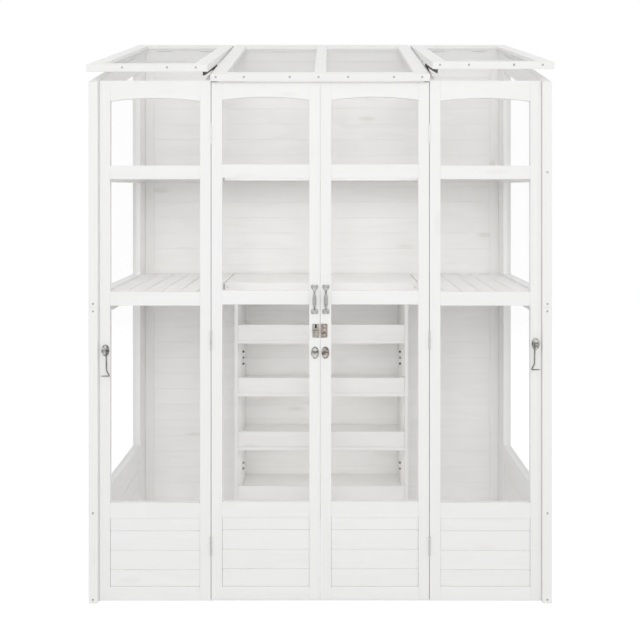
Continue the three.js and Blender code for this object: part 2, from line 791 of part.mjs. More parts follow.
function latchBolt() {
  const right = -meetingGap / 2 - latchEdgeInset - fit;
  const left = right - latchBoltLength;
  const shaft = rod(at(left, boltY, latchBoltLevel), at(right, boltY, latchBoltLevel), latchBoltRadius);
  const knobX = left + latchOuterStaple + latchKnobRadius;
  const knob = rod(at(knobX, boltY, latchBoltLevel),
    at(knobX, boltY - latchKnobReach, latchBoltLevel), latchKnobRadius);
  return shaft.add(knob);
}

function hookPlate(x, level) {
  const plateFront = leafSetback - fit - eyePlateThickness;
  return ovalPlate(x, level, hookPlateWidth, hookPlateHeight)
    .add(staple(x, level, plateFront, hookBarReach, hookBarSpan, hookWireRadius));
}

const hookBarY = leafSetback - fit - eyePlateThickness - hookBarReach;

// Cabin hook hanging by its eye from the origin, its tip pointing to one side
function cabinHook(sign) {
  const eye = solidOf(new THREE.TorusGeometry(hookEyeRadius, hookWireRadius, wireSides, 2 * rodSides)
    .rotateY(Math.PI / 2));
  const start = -hookEyeRadius;
  const bend = start - hookShank;
  const foot = bend - hookKinkDrop;
  const shank = wire([
    at(0, 0, start), at(0, 0, start - hookShank / 2), at(-sign * hookWireRadius / 2, 0, bend),
    at(-sign * hookKinkReach * hookKinkShare, 0, bend - hookKinkDrop * hookKinkShare),
    at(-sign * hookKinkReach, 0, foot),
    at(-sign * hookKinkReach * hookKinkShare, 0, foot - hookWireRadius),
    at(sign * (hookTipReach - hookKinkReach), 0, foot),
  ], hookWireRadius, 2 * wireSteps);
  return eye.add(shank);
}

// Flat link with round ends, from the origin along Y
function stayLink(length) {
  const shape = new THREE.Shape();
  const radius = stayWidth / 2;
  const low = Math.min(0, length);
  const high = Math.max(0, length);
  shape.moveTo(low, -radius);
  shape.lineTo(high, -radius);
  shape.absarc(high, 0, radius, -Math.PI / 2, Math.PI / 2, false);
  shape.lineTo(low, radius);
  shape.absarc(low, 0, radius, Math.PI / 2, 3 * Math.PI / 2, false);
  return shape;
}

const staySeat = (roofMiddleHalfSpan + lidInnerEdge) / 2 + rafterWidth / 2;
const stayInner = staySeat + stayFromRafter;
const stayOuter = stayInner + stayThickness + stayGap;
const stayPivotV = -stayPivotReach;
const stayFootV = -stayPivotReach - stayFootLead;
const stayUpperLength = stayLowerLength + stayFootLead;
const stayPivotW = lidHingeDrop - stayPivotDrop;

// Angles of the two arms, in the roof's own axes, with the lid raised by an angle
function stayAngles(raise) {
  const footV = stayFootV * Math.cos(raise) + stayPivotW * Math.sin(raise);
  const footW = -stayFootV * Math.sin(raise) + stayPivotW * Math.cos(raise);
  const runV = footV - stayPivotV;
  const runW = footW - stayPivotW;
  const span = Math.hypot(runV, runW);
  const along = (stayLowerLength ** 2 - stayUpperLength ** 2 + span ** 2) / (2 * span);
  const aside = Math.sqrt(Math.max(0, stayLowerLength ** 2 - along ** 2));
  const elbowV = stayPivotV + (along * runV + aside * runW) / span;
  const elbowW = stayPivotW + (along * runW - aside * runV) / span;
  return {
    lower: Math.atan2(elbowW - stayPivotW, elbowV - stayPivotV),
    upper: Math.atan2(elbowW - footW, elbowV - footV),
  };
}

function stayLowerArm(sign) {
  const arm = slabX(stayLink(stayLowerLength), sign * stayInner, sign * (stayInner + stayThickness));
  const pivot = rod(at(sign * (staySeat + fit), 0, 0), at(sign * (stayInner + stayThickness / 2), 0, 0),
    stayRivetRadius);
  return arm.add(pivot);
}

function stayUpperArm(sign) {
  const arm = slabX(stayLink(-stayUpperLength), sign * stayOuter, sign * (stayOuter + stayThickness));
  const elbow = rod(at(sign * stayOuter, 0, 0),
    at(sign * (stayOuter + stayThickness + stayGap), 0, 0), stayRivetRadius);
  return arm.add(elbow);
}

// Ear under a lid that its stay is pinned to
function stayEar(sign) {
  const inner = sign * (stayOuter + stayThickness + stayGap);
  const outline = polygon([
    [stayFootV - stayWidth, lidHingeDrop + fit], [stayFootV - stayWidth / 2, stayPivotW - stayWidth / 2],
    [stayFootV + stayWidth / 2, stayPivotW - stayWidth / 2], [stayFootV + stayWidth, lidHingeDrop + fit],
  ]);
  return slabX(outline, inner, inner + sign * stayFootThickness);
}

// Hinge knuckles under the rear of a lid
function lidKnuckles(xa, xb) {
  const low = Math.min(xa, xb) + lidHingeInset;
  const high = Math.max(xa, xb) - lidHingeInset;
  return [low, high - lidHingeLength].map((x) => {
    const knuckle = rod(at(x, 0, 0), at(x + lidHingeLength, 0, 0), lidHingeRadius);
    return knuckle.add(block(x, x + lidHingeLength, -fit, lidHingeRadius - fit, 0, lidHingeDrop + fit));
  });
}

const greenhouse = new THREE.Group();
const house = new THREE.Group();
greenhouse.add(house);
const put = (group, name, solid, material) => group.add(meshOf(name, solid, material));

for (const [side, sign] of [['left', -1], ['right', 1]]) {
  const lower = sideLower(sign);
  const upper = sideUpper(sign);
  put(house, `${side}_side_lower_frame`, lower.frame, whitePaint(frameWhite));
  put(house, `${side}_side_upper_frame`, upper.frame, whitePaint(frameWhite));
  put(house, `${side}_side_lower_pane`, lower.pane, clearPane());
  put(house, `${side}_side_upper_pane`, upper.pane, clearPane());

  const outerEdge = sign * frontLeafOuter;
  const innerEdge = sign * (doorHalfSpan + hingeGap);
  const fixed = glazedLeaf(outerEdge, innerEdge, 0, sideSeat(leafSetback) - fit, 0);
  put(house, `${side}_front_frame`, fixed.frame, whitePaint(frameWhite));
  put(house, `${side}_front_pane`, fixed.pane, clearPane());
  put(house, `${side}_rafter`, rafter(sign), whitePaint(frameWhite));
  put(house, `${side}_mid_shelf`, sideShelf(sign, midShelfTop), whitePaint(boardWhite));
  put(house, `${side}_top_shelf`, sideShelf(sign, topShelfTop), whitePaint(boardWhite));
  put(house, `rack_${side}_upright`, rackUpright(sign), whitePaint(boardWhite));
  hingeHeights.forEach((level, i) => {
    put(house, `${side}_hinge_${i + 1}`, hingeFixedHalf(sign, level), nickel());
  });
}

const back = backWall();
put(house, 'back_frame', back.frame, whitePaint(frameWhite));
put(house, 'back_boards', back.boards, whitePaint(boardWhite));
rackLipTopShares.forEach((share, i) => {
  put(house, `rack_shelf_${i + 1}`, rackShelf(share * rackHeight), whitePaint(boardWhite));
});

// Cabin hooks, each hanging from the bar of its plate
for (const [name, sign, inset, level] of [
  ['left_hook', -1, leftHookInset, leftHookLevel], ['right_hook', 1, rightHookInset, rightHookLevel],
]) {
  const x = sign * (frontLeafOuter - inset);
  put(house, `${name}_plate`, hookPlate(x, level), nickel());
  const hook = new THREE.Group();
  hook.name = `${name}_body`;
  hook.position.set(x - sign * hookEyeSide, hookBarY, level);
  put(hook, name, cabinHook(sign), nickel());
  house.add(hook);
}

// Doors
for (const [side, sign] of [['left', -1], ['right', 1]]) {
  const leaf = glazedLeaf(sign * doorHalfSpan, sign * meetingGap / 2, doorBottom, doorTop, doorLift);
  const frame = joined([leaf.frame, ...hingeHeights.map((level) => hingeDoorHalf(sign, level))]);
  put(house, `${side}_door_frame`, frame, whitePaint(frameWhite));
  put(house, `${side}_door_pane`, leaf.pane, clearPane());
  put(house, `${side}_pull`, pull(sign * pullOffset), nickel());
  put(house, `${side}_eye_plate`, eyePlate(sign * eyePlateOffset), nickel());
}
put(house, 'latch_plate', latchBase(), agedZinc());
put(house, 'latch_keeper', latchKeeper(), agedZinc());
put(house, 'latch_bolt', latchBolt(), agedZinc());

// Fold-up shelves
put(house, 'mid_fold_shelf', foldShelf(midShelfTop), whitePaint(boardWhite));
put(house, 'upper_fold_shelf', foldShelf(topShelfTop), whitePaint(boardWhite));

// Roof, in its own axes about the lid hinge line
const roof = new THREE.Group();
roof.position.set(0, lidHingeY, lidHingeZ);
roof.rotation.x = roofPitch;
house.add(roof);
const middleRoof = roofPanel(-roofMiddleHalfSpan, roofMiddleHalfSpan, 1);
put(roof, 'roof_middle_frame', middleRoof.frame, whitePaint(frameWhite));
put(roof, 'roof_middle_pane', middleRoof.pane, clearPane());

for (const [side, sign, degrees] of [
  ['left', -1, leftLidRaiseDegrees], ['right', 1, rightLidRaiseDegrees],
]) {
  const raise = THREE.MathUtils.degToRad(degrees);
  const inner = sign * lidInnerEdge;
  const outer = sign * (halfHouse + lidOverhang);
  const lid = new THREE.Group();
  lid.name = `${side}_lid_body`;
  lid.rotation.x = -raise;
  const panel = roofPanel(inner, outer, 0);
  const frame = joined([panel.frame, stayEar(sign), ...lidKnuckles(inner, outer)]);
  put(lid, `${side}_lid_frame`, frame, whitePaint(frameWhite));
  put(lid, `${side}_lid_pane`, panel.pane, clearPane());
  roof.add(lid);

  const angles = stayAngles(raise);
  const lowerArm = new THREE.Group();
  lowerArm.name = `${side}_stay_lower_body`;
  lowerArm.position.set(0, stayPivotV, stayPivotW);
  lowerArm.rotation.x = angles.lower;
  put(lowerArm, `${side}_stay_lower_arm`, stayLowerArm(sign), darkSteel());
  const upperArm = new THREE.Group();
  upperArm.name = `${side}_stay_upper_body`;
  upperArm.position.set(0, stayLowerLength, 0);
  upperArm.rotation.x = angles.upper - angles.lower;
  put(upperArm, `${side}_stay_upper_arm`, stayUpperArm(sign), darkSteel());
  lowerArm.add(upperArm);
  roof.add(lowerArm);
}

// Origin on the ground, in the middle of the overall box
const overall = new THREE.Box3().setFromObject(greenhouse, true);
house.position.y = -(overall.min.y + overall.max.y) / 2;

export default greenhouse;
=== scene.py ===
import json
import math
import random

import bmesh
import bpy
from bmesh.types import BMEdge, BMVert
from mathutils import Matrix, Vector
from mathutils.geometry import interpolate_bezier


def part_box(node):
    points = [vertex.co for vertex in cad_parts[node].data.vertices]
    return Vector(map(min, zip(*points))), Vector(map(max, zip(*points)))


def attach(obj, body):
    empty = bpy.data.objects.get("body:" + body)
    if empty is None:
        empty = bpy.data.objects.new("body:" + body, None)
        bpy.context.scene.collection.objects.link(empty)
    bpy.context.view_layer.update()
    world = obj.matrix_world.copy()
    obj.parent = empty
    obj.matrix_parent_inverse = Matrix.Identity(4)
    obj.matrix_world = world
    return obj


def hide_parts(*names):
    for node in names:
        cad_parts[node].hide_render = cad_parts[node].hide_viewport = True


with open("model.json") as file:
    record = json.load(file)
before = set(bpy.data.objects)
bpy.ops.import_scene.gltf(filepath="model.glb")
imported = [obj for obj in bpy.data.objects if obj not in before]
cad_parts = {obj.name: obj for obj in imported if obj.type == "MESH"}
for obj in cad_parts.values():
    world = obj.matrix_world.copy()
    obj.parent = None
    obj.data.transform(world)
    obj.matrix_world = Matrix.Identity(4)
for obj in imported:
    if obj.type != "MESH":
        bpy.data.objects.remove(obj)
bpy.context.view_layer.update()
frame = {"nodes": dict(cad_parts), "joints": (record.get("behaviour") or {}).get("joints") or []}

GRAIN_SEED = 11
chance = random.Random(GRAIN_SEED)
SIDES = {"left": -1, "right": 1}
FOLD_HINGES = {"mid_fold_shelf": "mid_shelf_fold", "upper_fold_shelf": "upper_shelf_fold"}

# Meshes
MERGE = 1e-5
FLAT_ANGLE = 2
EASED_ANGLE = 30
SMOOTH_ANGLE = 50

# Joinery
EASE = 0.0009
PANE_LAP = 0.008
LEAF_STILE = 0.038
LEAF_HALF_THICKNESS = 0.010
BOTTOM_RAIL = 0.050
LEAF_SILL_RAIL = 0.055
LEAF_LOW_PANE = 0.698
LEAF_MID_RAIL = 0.049
LEAF_MID_PANE = 0.399
LEAF_TOP_RAIL = 0.048
ARCH_RISE = 0.011
ARCH_CUTS = 20
BOARD_PITCH = 0.069
BOARD_TOP_LAP = 0.046
BOARD_RECESS = 0.003
BOARD_CHAMFER = 0.0022
BACK_CHAMFER = 0.0006
FRONT_POST = 0.075
REAR_POST = 0.111
SIDE_BOARDS_TOP = 0.292
SIDE_SILL = 0.351
SIDE_LOWER_TOP_RAIL = 0.038
SIDE_UPPER_BOTTOM_RAIL = 0.049
SIDE_MID_RAIL_LOW = 1.483
SIDE_MID_RAIL_HIGH = 1.541
SIDE_SLOPED_RAIL = 0.070
BACK_STILE = 0.038
BACK_TOP_RAIL = 0.043

# Roof
PITCH = math.radians(18)
RAISE = {"roof_middle": 0, "left_lid": math.radians(2.5), "right_lid": math.radians(3.2)}
ROOF_FRONT = -0.763
ROOF_REAR = 0.018
ROOF_UNDERSIDE = 0.003
ROOF_THICKNESS = 0.0246
ROOF_SIDE_RAIL = 0.052
ROOF_END_RAIL = 0.050
ROOF_MULLION = 0.042
RAFTER_HEIGHT = 0.045

# Shelves and rack
SHELF_RAIL_HEIGHT = 0.033
SHELF_RAIL = 0.018
SLAT_THICKNESS = 0.012
SLAT_PITCH = 0.066
SLAT_GAP = 0.003
SHELF_SIDE_GAP = 0.004
CLEAT_REACH = 0.016
CLEAT_HEIGHT = 0.008
CLEAT_FRONT_GAP = 0.002
CLEAT_REAR_GAP = 0.032
CLEAT_GAP = 0.0003
RACK_BOARD = 0.0135
RACK_LIP = 0.012
RACK_LIP_SETBACK = 0.003
PEG_LEVELS = (0.762, 0.711)
PIN_LEVELS = (0.7365, 0.2885, 0.263)
PEG_SETBACK = 0.176
PEG = 0.0033
PEG_DEPTH = 0.004
PEG_HEAD = 0.0042
PEG_REACH = 0.0075

# Screws
SCREW = 0.0035
SMALL_SCREW = 0.0024
PULL_SCREW = 0.0020
ROSETTE_SCREW = 0.0040
KEEPER_SCREW = 0.0032
SCREW_CELLS = 5
SCREW_RISE = 0.0003
SCREW_RECESS = 0.0009
SCREW_SEAT = 0.0012
POST_SCREW_LEVELS = [1.054, 1.028, 0.318, 0.014]
RIGHT_UPPER_SCREW = 1.517
ROOF_SCREW_LIFT = 0.003
ROOF_SCREWS = {
    "roof_middle": (-0.367, -0.268, -0.107, -0.006, 0.098, 0.259, 0.358),
    "left_lid": (-0.693, -0.536, -0.435),
    "right_lid": (0.419, 0.520, 0.678, 0.778),
}
LIP_SCREW_INSET = 0.0125
HINGE_SCREW_SHARES = (0.15, 0.5, 0.85)
WALL_LEAF_SCREW_SHARE = 0.65
SHELF_LEAF_SCREW_SHARE = 0.6

# Cast plates, turned grips and wire
ROUND_STEPS = 32
WIRE_SIDES = 14
BEZIER_STEPS = 8
PLATE_EDGE = 0.0006
PLATE_RIM = 0.0016
PLATE_DISH = 0.0005

# How dark each is painted, from 0 to 1: patina kept on the metal, and painted shade on the rims and raised
# scrolls of the plates
RIM_PAINTED_SHADE = 0.8
DISH_PATINA = 0.15
WIRE_PATINA = 0.75
HOOK_STAPLE_PATINA = 0.25
EYE_STAPLE_PATINA = 0.2
GRIP_PATINA = 0.5

# Door pulls
PULL_PLATE = 0.002
PULL_TOP_PLATE = 0.029
PULL_BOTTOM_PLATE = 0.019
PULL_NECK_RADIUS = 0.0028
PULL_BEND = 0.0084
PULL_GRIP_RADIUS = 0.007
PULL_GRIP_TOP = 0.074
PULL_GRIP_BOTTOM = 0.028
GRIP_REEDS = 12
REED_SHARE = 0.04
GRIP_SHARES = [(0, -1), (0.45, -1), (0.66, -0.86), (0.85, -0.65), (0.96, -0.45), (1, -0.2), (1, 0.1),
               (0.96, 0.4), (0.86, 0.65), (0.65, 0.85), (0.45, 0.97), (0.38, 1), (0, 1)]
TOP_LEAF_SHARES = [((0.55, 0.28), (0.8, 0.5)), ((1.15, 0.62), (1.05, 0.98), (0.6, 0.97)),
                   ((0.35, 0.96), (0.2, 0.9), (0, 0.84))]
BOTTOM_LEAF_SHARES = [((0.6, 0.02), (0.86, 0.16)), ((1.12, 0.34), (1.08, 1.0), (0.58, 0.99)),
                      ((0.35, 0.98), (0.16, 0.92), (0, 0.84))]
CURL_ACROSS = 0.27
CURL_UP = 0.68
CURL_REACH = 0.17
CURL_SHRINK = 0.1
CURL_TURNS = 1.15
CURL_STEPS = 18
CURL_WIRE = 0.028
CURL_SIDES = 8
CURL_TAPER = 0.6

# Oval plates, staples and cabin hooks
EYE_WIDTH = 0.027
EYE_HEIGHT = 0.042
EYE_PLATE = 0.0025
EYE_BAR_REACH = 0.010
EYE_BAR_SPAN = 0.015
EYE_WIRE = 0.0018
EYE_SCREW_LIFT = 0.0125
STAPLE_BEND = 1.4
HOOK_PLATE_HEIGHT = 0.040
HOOK_BAR_SPAN = 0.020
HOOK_WIRE = 0.0022
HOOK_EYE = 0.0046
HOOK_SHANK = 0.0635
HOOK_KINK_DROP = 0.020
HOOK_KINK_REACH = 0.012
HOOK_TIP = 0.031
HOOK_TIP_TAPER = 0.5

# Hinges
HINGE_KNUCKLE = 0.003
HINGE_BORE = 0.0016
HINGE_LEAF = 0.0006
HINGE_LEAF_DEPTH = 0.016
LID_HINGE_LENGTH = 0.060
LID_HINGE_INSET = 0.090
LID_KNUCKLE = 0.0025
LID_HINGE_LEAF = 0.026
LEAF_METAL = 0.0008
LID_LEAF_DEPTH = 0.015
FOLD_HINGE_INSET = 0.110
PAD_MARGIN = 0.004

# Stays of the lids
STAY_FOOT = 0.001
STAY_FOOT_LENGTH = 0.044
STAY_FOOT_HEIGHT = 0.022
STAY_FOOT_SCREW = 0.014
STAY_EAR_INNER = 0.41505
STAY_EAR_OUTER = 0.41805
STAY_EAR_PLACE = -0.714
STAY_EAR_HALF = 0.010
STAY_EAR_LOW = -0.0155
STAY_EAR_EASE = 0.0012
STAY_EAR_FLANGE = 0.014
STAY_RIVET = 0.003
STAY_RIVET_START = 0.4131
STAY_RIVET_LEVEL = -0.010

# Latch
LATCH_PLATE = 0.0015
LATCH_CORNER = 0.004
LATCH_EASE = 0.0004
LATCH_NEAR = 0.0001
KEEPER_SCREW_REACH = 0.0140
KEEPER_SCREW_LEVELS = (0.0100, 0.0270, 0.0410)
KEY_SLOT_WIDTH = 0.006
KEY_SLOT_HEIGHT = 0.014
KEY_SLOT_TOP = 0.002

# Finishes
FIBRE_STRETCH = (3, 150, 150)
SWAY_STRETCH = (1.3, 7, 7)
RING_STRETCH = (0.6, 16, 16)
KNOT_STRETCH = (2.6, 9, 9)
KNOT_RIM = 0.13
KNOT_HEART = 0.07
KNOT_RAGGED = 0.03
SCRATCH_STRETCH = (900, 60, 900)
SCRATCH_TURN = (0.3, 0.5, 0.2)
ACRYLIC_IOR = 1.49
PANE_HAZE = 0.010

# Camera, fitted to a square picture whose level line and middle are given in pixels
PHOTO_SIZE = 640
PHOTO_CENTRE = (329, 187)
SENSOR = 36
FOCAL_LENGTH = 43.2
CAMERA_PLACE = (0.031, -3.06195, 1.465)

# Room and lamps
ROOM_LIGHT = 0.955
CEILING_SHARE = 0.72
FLOOR_WHITE = 0.84
FLOOR_LIFT = 0.42
FLOOR_REACH = 30
BACKDROP_START = 2.5
BACKDROP_END = 6.0
KEY_PLACE = (0.0, -4.5, 2.9)
KEY_TARGET = (0.0, 0.0, 1.2)
KEY_SIZE = 1.8
KEY_POWER = 41
FILL_WIDTH = 1.5
# Of each card inside the greenhouse: Y, Z, turn from facing down in degrees, second side and power
FILLS = {
    "upper fill": (-0.29, 1.50, 90, 0.75, 0.76),
    "shelf fill": (-0.04, 1.46, 0, 0.60, 0.62),
    "ground fill": (0.0, 0.02, 180, 0.62, 1.4),
}
RACK_FILL_Y = 0.065
RACK_FILL_WIDTH = 0.64
RACK_FILL_HEIGHT = 0.11
# Level and power of the card over each tray of the rack
RACK_FILLS = ((0.955, 0.12), (0.735, 0.19), (0.520, 0.22), (0.300, 0.25))


# Shapes

def joint_place(name):
    """A point on the axis of a packed joint."""
    return next(Vector(joint["pos_m"]) for joint in frame["joints"] if joint["name"] == name)


def joined(shapes):
    """One bmesh that holds several, which are freed."""
    whole = bmesh.new()
    for shape in shapes:
        step = bpy.data.meshes.new("step")
        shape.to_mesh(step)
        shape.free()
        whole.from_mesh(step)
        bpy.data.meshes.remove(step)
    return whole


def piece(name, shapes, material, body, replaces=()):
    """Makes a finished piece of the object from its shapes, riding on a body."""
    whole = joined(shapes)
    mesh = bpy.data.meshes.new(name)
    whole.to_mesh(mesh)
    whole.free()
    mesh.shade_smooth()
    mesh.set_sharp_from_angle(angle=math.radians(SMOOTH_ANGLE))
    mesh.materials.append(material)
    made = bpy.data.objects.new(name, mesh)
    bpy.context.scene.collection.objects.link(made)
    made.modifiers.new("even faces", "WEIGHTED_NORMAL").keep_sharp = True
    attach(made, body)
    if replaces:
        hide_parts(*replaces)
    return made


def new_parts(made, kind):
    """The vertices or edges among what an operator has made."""
    return [part for part in made["geom"] if isinstance(part, kind)]


def moved(shape, matrix):
    """Moves a whole shape by a matrix."""
    bmesh.ops.transform(shape, matrix=matrix, verts=shape.verts[:])
    return shape


def box(low, high):
    """Plain block between two corners."""
    low, high = Vector(map(min, low, high)), Vector(map(max, low, high))
    shape = bmesh.new()
    place = Matrix.LocRotScale((low + high) / 2, None, high - low)
    bmesh.ops.create_cube(shape, size=1, matrix=place)
    return shape


def eased(shape, ease, segments=2, angle=EASED_ANGLE):
    """Rounds the edges that are sharper than an angle in degrees."""
    sharp = [e for e in shape.edges if e.is_manifold and e.calc_face_angle() > math.radians(angle)]
    bmesh.ops.bevel(shape, geom=sharp, offset=ease, segments=segments, profile=0.5,
                    affect="EDGES", material=-1, clamp_overlap=True)
    return shape


def grained(shape, along):
    """Gives a board its own stretch of grain, along X, Y or Z, and its own shade."""
    grain = shape.verts.layers.float_vector.new("grain")
    tone = shape.verts.layers.float.new("tone")
    start = Vector([chance.uniform(0, 30) for _ in range(3)])
    shade = chance.random()
    first = "XYZ".index(along)
    for vert in shape.verts:
        place = vert.co
        vert[grain] = start + Vector((place[first], place[first - 2], place[first - 1]))
        vert[tone] = shade
    return shape


def patina_and_shade(shape, amount, verts=None):
    """Marks where metal is painted darker: patina, and painted shade in recesses and on rims."""
    patina = shape.verts.layers.float.get("patina") or shape.verts.layers.float.new("patina")
    for vert in shape.verts if verts is None else verts:
        vert[patina] = amount
    return shape


def plank(low, high, along, ease=EASE, segments=2):
    """Board with eased edges and its own grain."""
    return grained(eased(box(low, high), ease, segments), along)


def leaned(shape, slope, start, above=0.0):
    """Raises what lies above a level by a slope along Y."""
    for vert in shape.verts:
        if vert.co.z > above:
            vert.co.z += slope * (vert.co.y - start)
    return shape


def arched_rail(low, high, rise):
    """Top rail whose lower edge is cut to a low arch."""
    shape = box(low, high)
    half = (high[0] - low[0]) / 2
    middle = low[0] + half
    for cut in range(1, ARCH_CUTS):
        x = low[0] + (high[0] - low[0]) * cut / ARCH_CUTS
        bmesh.ops.bisect_plane(shape, geom=shape.verts[:] + shape.edges[:] + shape.faces[:],
                               plane_co=(x, 0, 0), plane_no=(1, 0, 0))
    for vert in shape.verts:
        if vert.co.z < low[2] + rise:
            vert.co.z += rise * (1 - ((vert.co.x - middle) / half) ** 2)
    return grained(eased(shape, EASE), "X")


def board_field(low, high, along, first, chamfer=BOARD_CHAMFER):
    """Tongue and groove boards with V joints, one above the other."""
    boards = []
    top = high[2]
    joint = high[2] - first
    while top > low[2] + chamfer:
        bottom = joint if joint > low[2] + 2 * chamfer else low[2]
        boards.append(plank((low[0], low[1], bottom), (high[0], high[1], top), along,
                            chamfer, 1))
        top, joint = bottom, bottom - BOARD_PITCH
    return boards


def merged_copy(node):
    """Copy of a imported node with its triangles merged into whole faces."""
    shape = bmesh.new()
    shape.from_mesh(frame["nodes"][node].data)
    bmesh.ops.remove_doubles(shape, verts=shape.verts[:], dist=MERGE)
    bmesh.ops.dissolve_limit(shape, angle_limit=math.radians(FLAT_ANGLE), verts=shape.verts[:],
                             edges=shape.edges[:])
    return shape


def eased_copy(node, ease, along=None, segments=2):
    """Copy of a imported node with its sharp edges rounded, and grain if it is wood."""
    shape = eased(merged_copy(node), ease, segments)
    return grained(shape, along) if along else shape


# Joinery

def leaf_sides(side, kind):
    """Outer edges of the two stiles of a front leaf or a door."""
    low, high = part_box(f"{side}_{kind}_pane")
    return low.x + PANE_LAP - LEAF_STILE, high.x - PANE_LAP + LEAF_STILE


def leaf_boards(side, kind):
    """Planks of a front leaf or a door: its joinery, and its field of boards."""
    pane_low, pane_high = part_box(f"{side}_{kind}_pane")
    frame_low, frame_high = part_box(f"{side}_{kind}_frame")
    left, right = leaf_sides(side, kind)
    inner_left, inner_right = left + LEAF_STILE, right - LEAF_STILE
    middle = (pane_low.y + pane_high.y) / 2
    front, back = middle - LEAF_HALF_THICKNESS, middle + LEAF_HALF_THICKNESS
    bottom, top = frame_low.z, frame_high.z
    sill = pane_low.z + PANE_LAP
    boards_top = sill - LEAF_SILL_RAIL
    mid_rail = sill + LEAF_LOW_PANE
    top_rail = mid_rail + LEAF_MID_RAIL + LEAF_MID_PANE
    springing = pane_high.z - PANE_LAP - ARCH_RISE
    joinery = [
        plank((left, front, bottom), (inner_left, back, top), "Z"),
        plank((inner_right, front, bottom), (right, back, top), "Z"),
        arched_rail((inner_left, front, springing), (inner_right, back, top), ARCH_RISE),
    ]
    for low, high in ((bottom, BOTTOM_RAIL), (boards_top, sill), (mid_rail, mid_rail + LEAF_MID_RAIL),
                      (top_rail, top_rail + LEAF_TOP_RAIL)):
        joinery.append(plank((inner_left, front, low), (inner_right, back, high), "X"))
    boards = board_field((inner_left, front + BOARD_RECESS, BOTTOM_RAIL),
                         (inner_right, back - BOARD_RECESS, boards_top), "X", BOARD_TOP_LAP)
    return joinery, boards


def side_lower_boards(side):
    """Planks of a lower wall section: its joinery, and its field of boards."""
    low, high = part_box(f"{side}_side_lower_frame")
    front, rear = low.y + FRONT_POST, high.y - REAR_POST
    joinery = [
        plank(low, (high.x, front, high.z), "Z"),
        plank((low.x, rear, low.z), high, "Z"),
        plank((low.x, front, low.z), (high.x, rear, BOTTOM_RAIL), "Y"),
        plank((low.x, front, SIDE_BOARDS_TOP), (high.x, rear, SIDE_SILL), "Y"),
        plank((low.x, front, high.z - SIDE_LOWER_TOP_RAIL), (high.x, rear, high.z), "Y"),
    ]
    boards = board_field((low.x + BOARD_RECESS, front, BOTTOM_RAIL),
                         (high.x - BOARD_RECESS, rear, SIDE_BOARDS_TOP), "Y", BOARD_TOP_LAP)
    return joinery, boards


def side_upper_boards(side):
    """Planks of an upper wall section, whose posts are cut to the slope of the roof."""
    low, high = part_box(f"{side}_side_upper_frame")
    front, rear = low.y + FRONT_POST, high.y - REAR_POST
    slope = math.tan(PITCH)
    front_top = high.z - slope * (high.y - low.y)
    mid = (low.z + front_top) / 2
    sloped_rail = plank((low.x, front, front_top - SIDE_SLOPED_RAIL), (high.x, rear, front_top), "Y")
    return [
        leaned(plank(low, (high.x, front, front_top), "Z"), slope, low.y, mid),
        leaned(plank((low.x, rear, low.z), (high.x, high.y, front_top), "Z"), slope, low.y, mid),
        plank((low.x, front, low.z), (high.x, rear, low.z + SIDE_UPPER_BOTTOM_RAIL), "Y"),
        plank((low.x, front, SIDE_MID_RAIL_LOW), (high.x, rear, SIDE_MID_RAIL_HIGH), "Y"),
        leaned(sloped_rail, slope, low.y),
    ]


def back_wall_boards():
    """Planks of the back wall: its joinery, and its field of boards."""
    low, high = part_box("back_frame")
    field_low, field_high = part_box("back_boards")
    left, right = low.x + BACK_STILE, high.x - BACK_STILE
    boards_top = high.z - BACK_TOP_RAIL
    joinery = [
        plank(low, (left, high.y, high.z), "Z"),
        plank((right, low.y, low.z), high, "Z"),
        plank((left, low.y, low.z), (right, high.y, BOTTOM_RAIL), "X"),
        plank((left, low.y, boards_top), (right, high.y, high.z), "X"),
    ]
    boards = board_field((left, field_low.y, BOTTOM_RAIL), (right, field_high.y, boards_top),
                         "X", BOARD_PITCH, BACK_CHAMFER)
    return joinery, boards


def roof_place(panel):
    """Matrix from a roof panel's own axes, at the lid hinge line, to the frame's."""
    hinge = joint_place("left_lid_hinge")
    turn = Matrix.Rotation(PITCH - RAISE[panel], 4, "X")
    return Matrix.Translation((0, hinge.y, hinge.z)) @ turn


def roof_panel_boards(panel, mullions):
    """Rails and mullions of a roof panel, laid on its slope."""
    low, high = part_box(f"{panel}_frame")
    left, right = low.x, high.x
    under, over = ROOF_UNDERSIDE, ROOF_UNDERSIDE + ROOF_THICKNESS
    front, rear = ROOF_FRONT + ROOF_END_RAIL, ROOF_REAR - ROOF_END_RAIL
    inner_left, inner_right = left + ROOF_SIDE_RAIL, right - ROOF_SIDE_RAIL
    boards = [
        plank((left, front, under), (inner_left, rear, over), "Y"),
        plank((inner_right, front, under), (right, rear, over), "Y"),
        plank((left, ROOF_FRONT, under), (right, front, over), "X", 2 * EASE),
        plank((left, rear, under), (right, ROOF_REAR, over), "X", 2 * EASE),
    ]
    bay = (inner_right - inner_left - mullions * ROOF_MULLION) / (mullions + 1)
    for i in range(mullions):
        x = inner_left + bay + i * (bay + ROOF_MULLION)
        boards.append(plank((x, front, under), (x + ROOF_MULLION, rear, over), "Y"))
    return [moved(board, roof_place(panel)) for board in boards]


def rafter_board(side):
    """Rafter under a seam of the roof, sheared to the slope."""
    low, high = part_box(f"{side}_rafter")
    board = plank(low, (high.x, high.y, low.z + RAFTER_HEIGHT), "Y")
    return [leaned(board, math.tan(PITCH), low.y)]


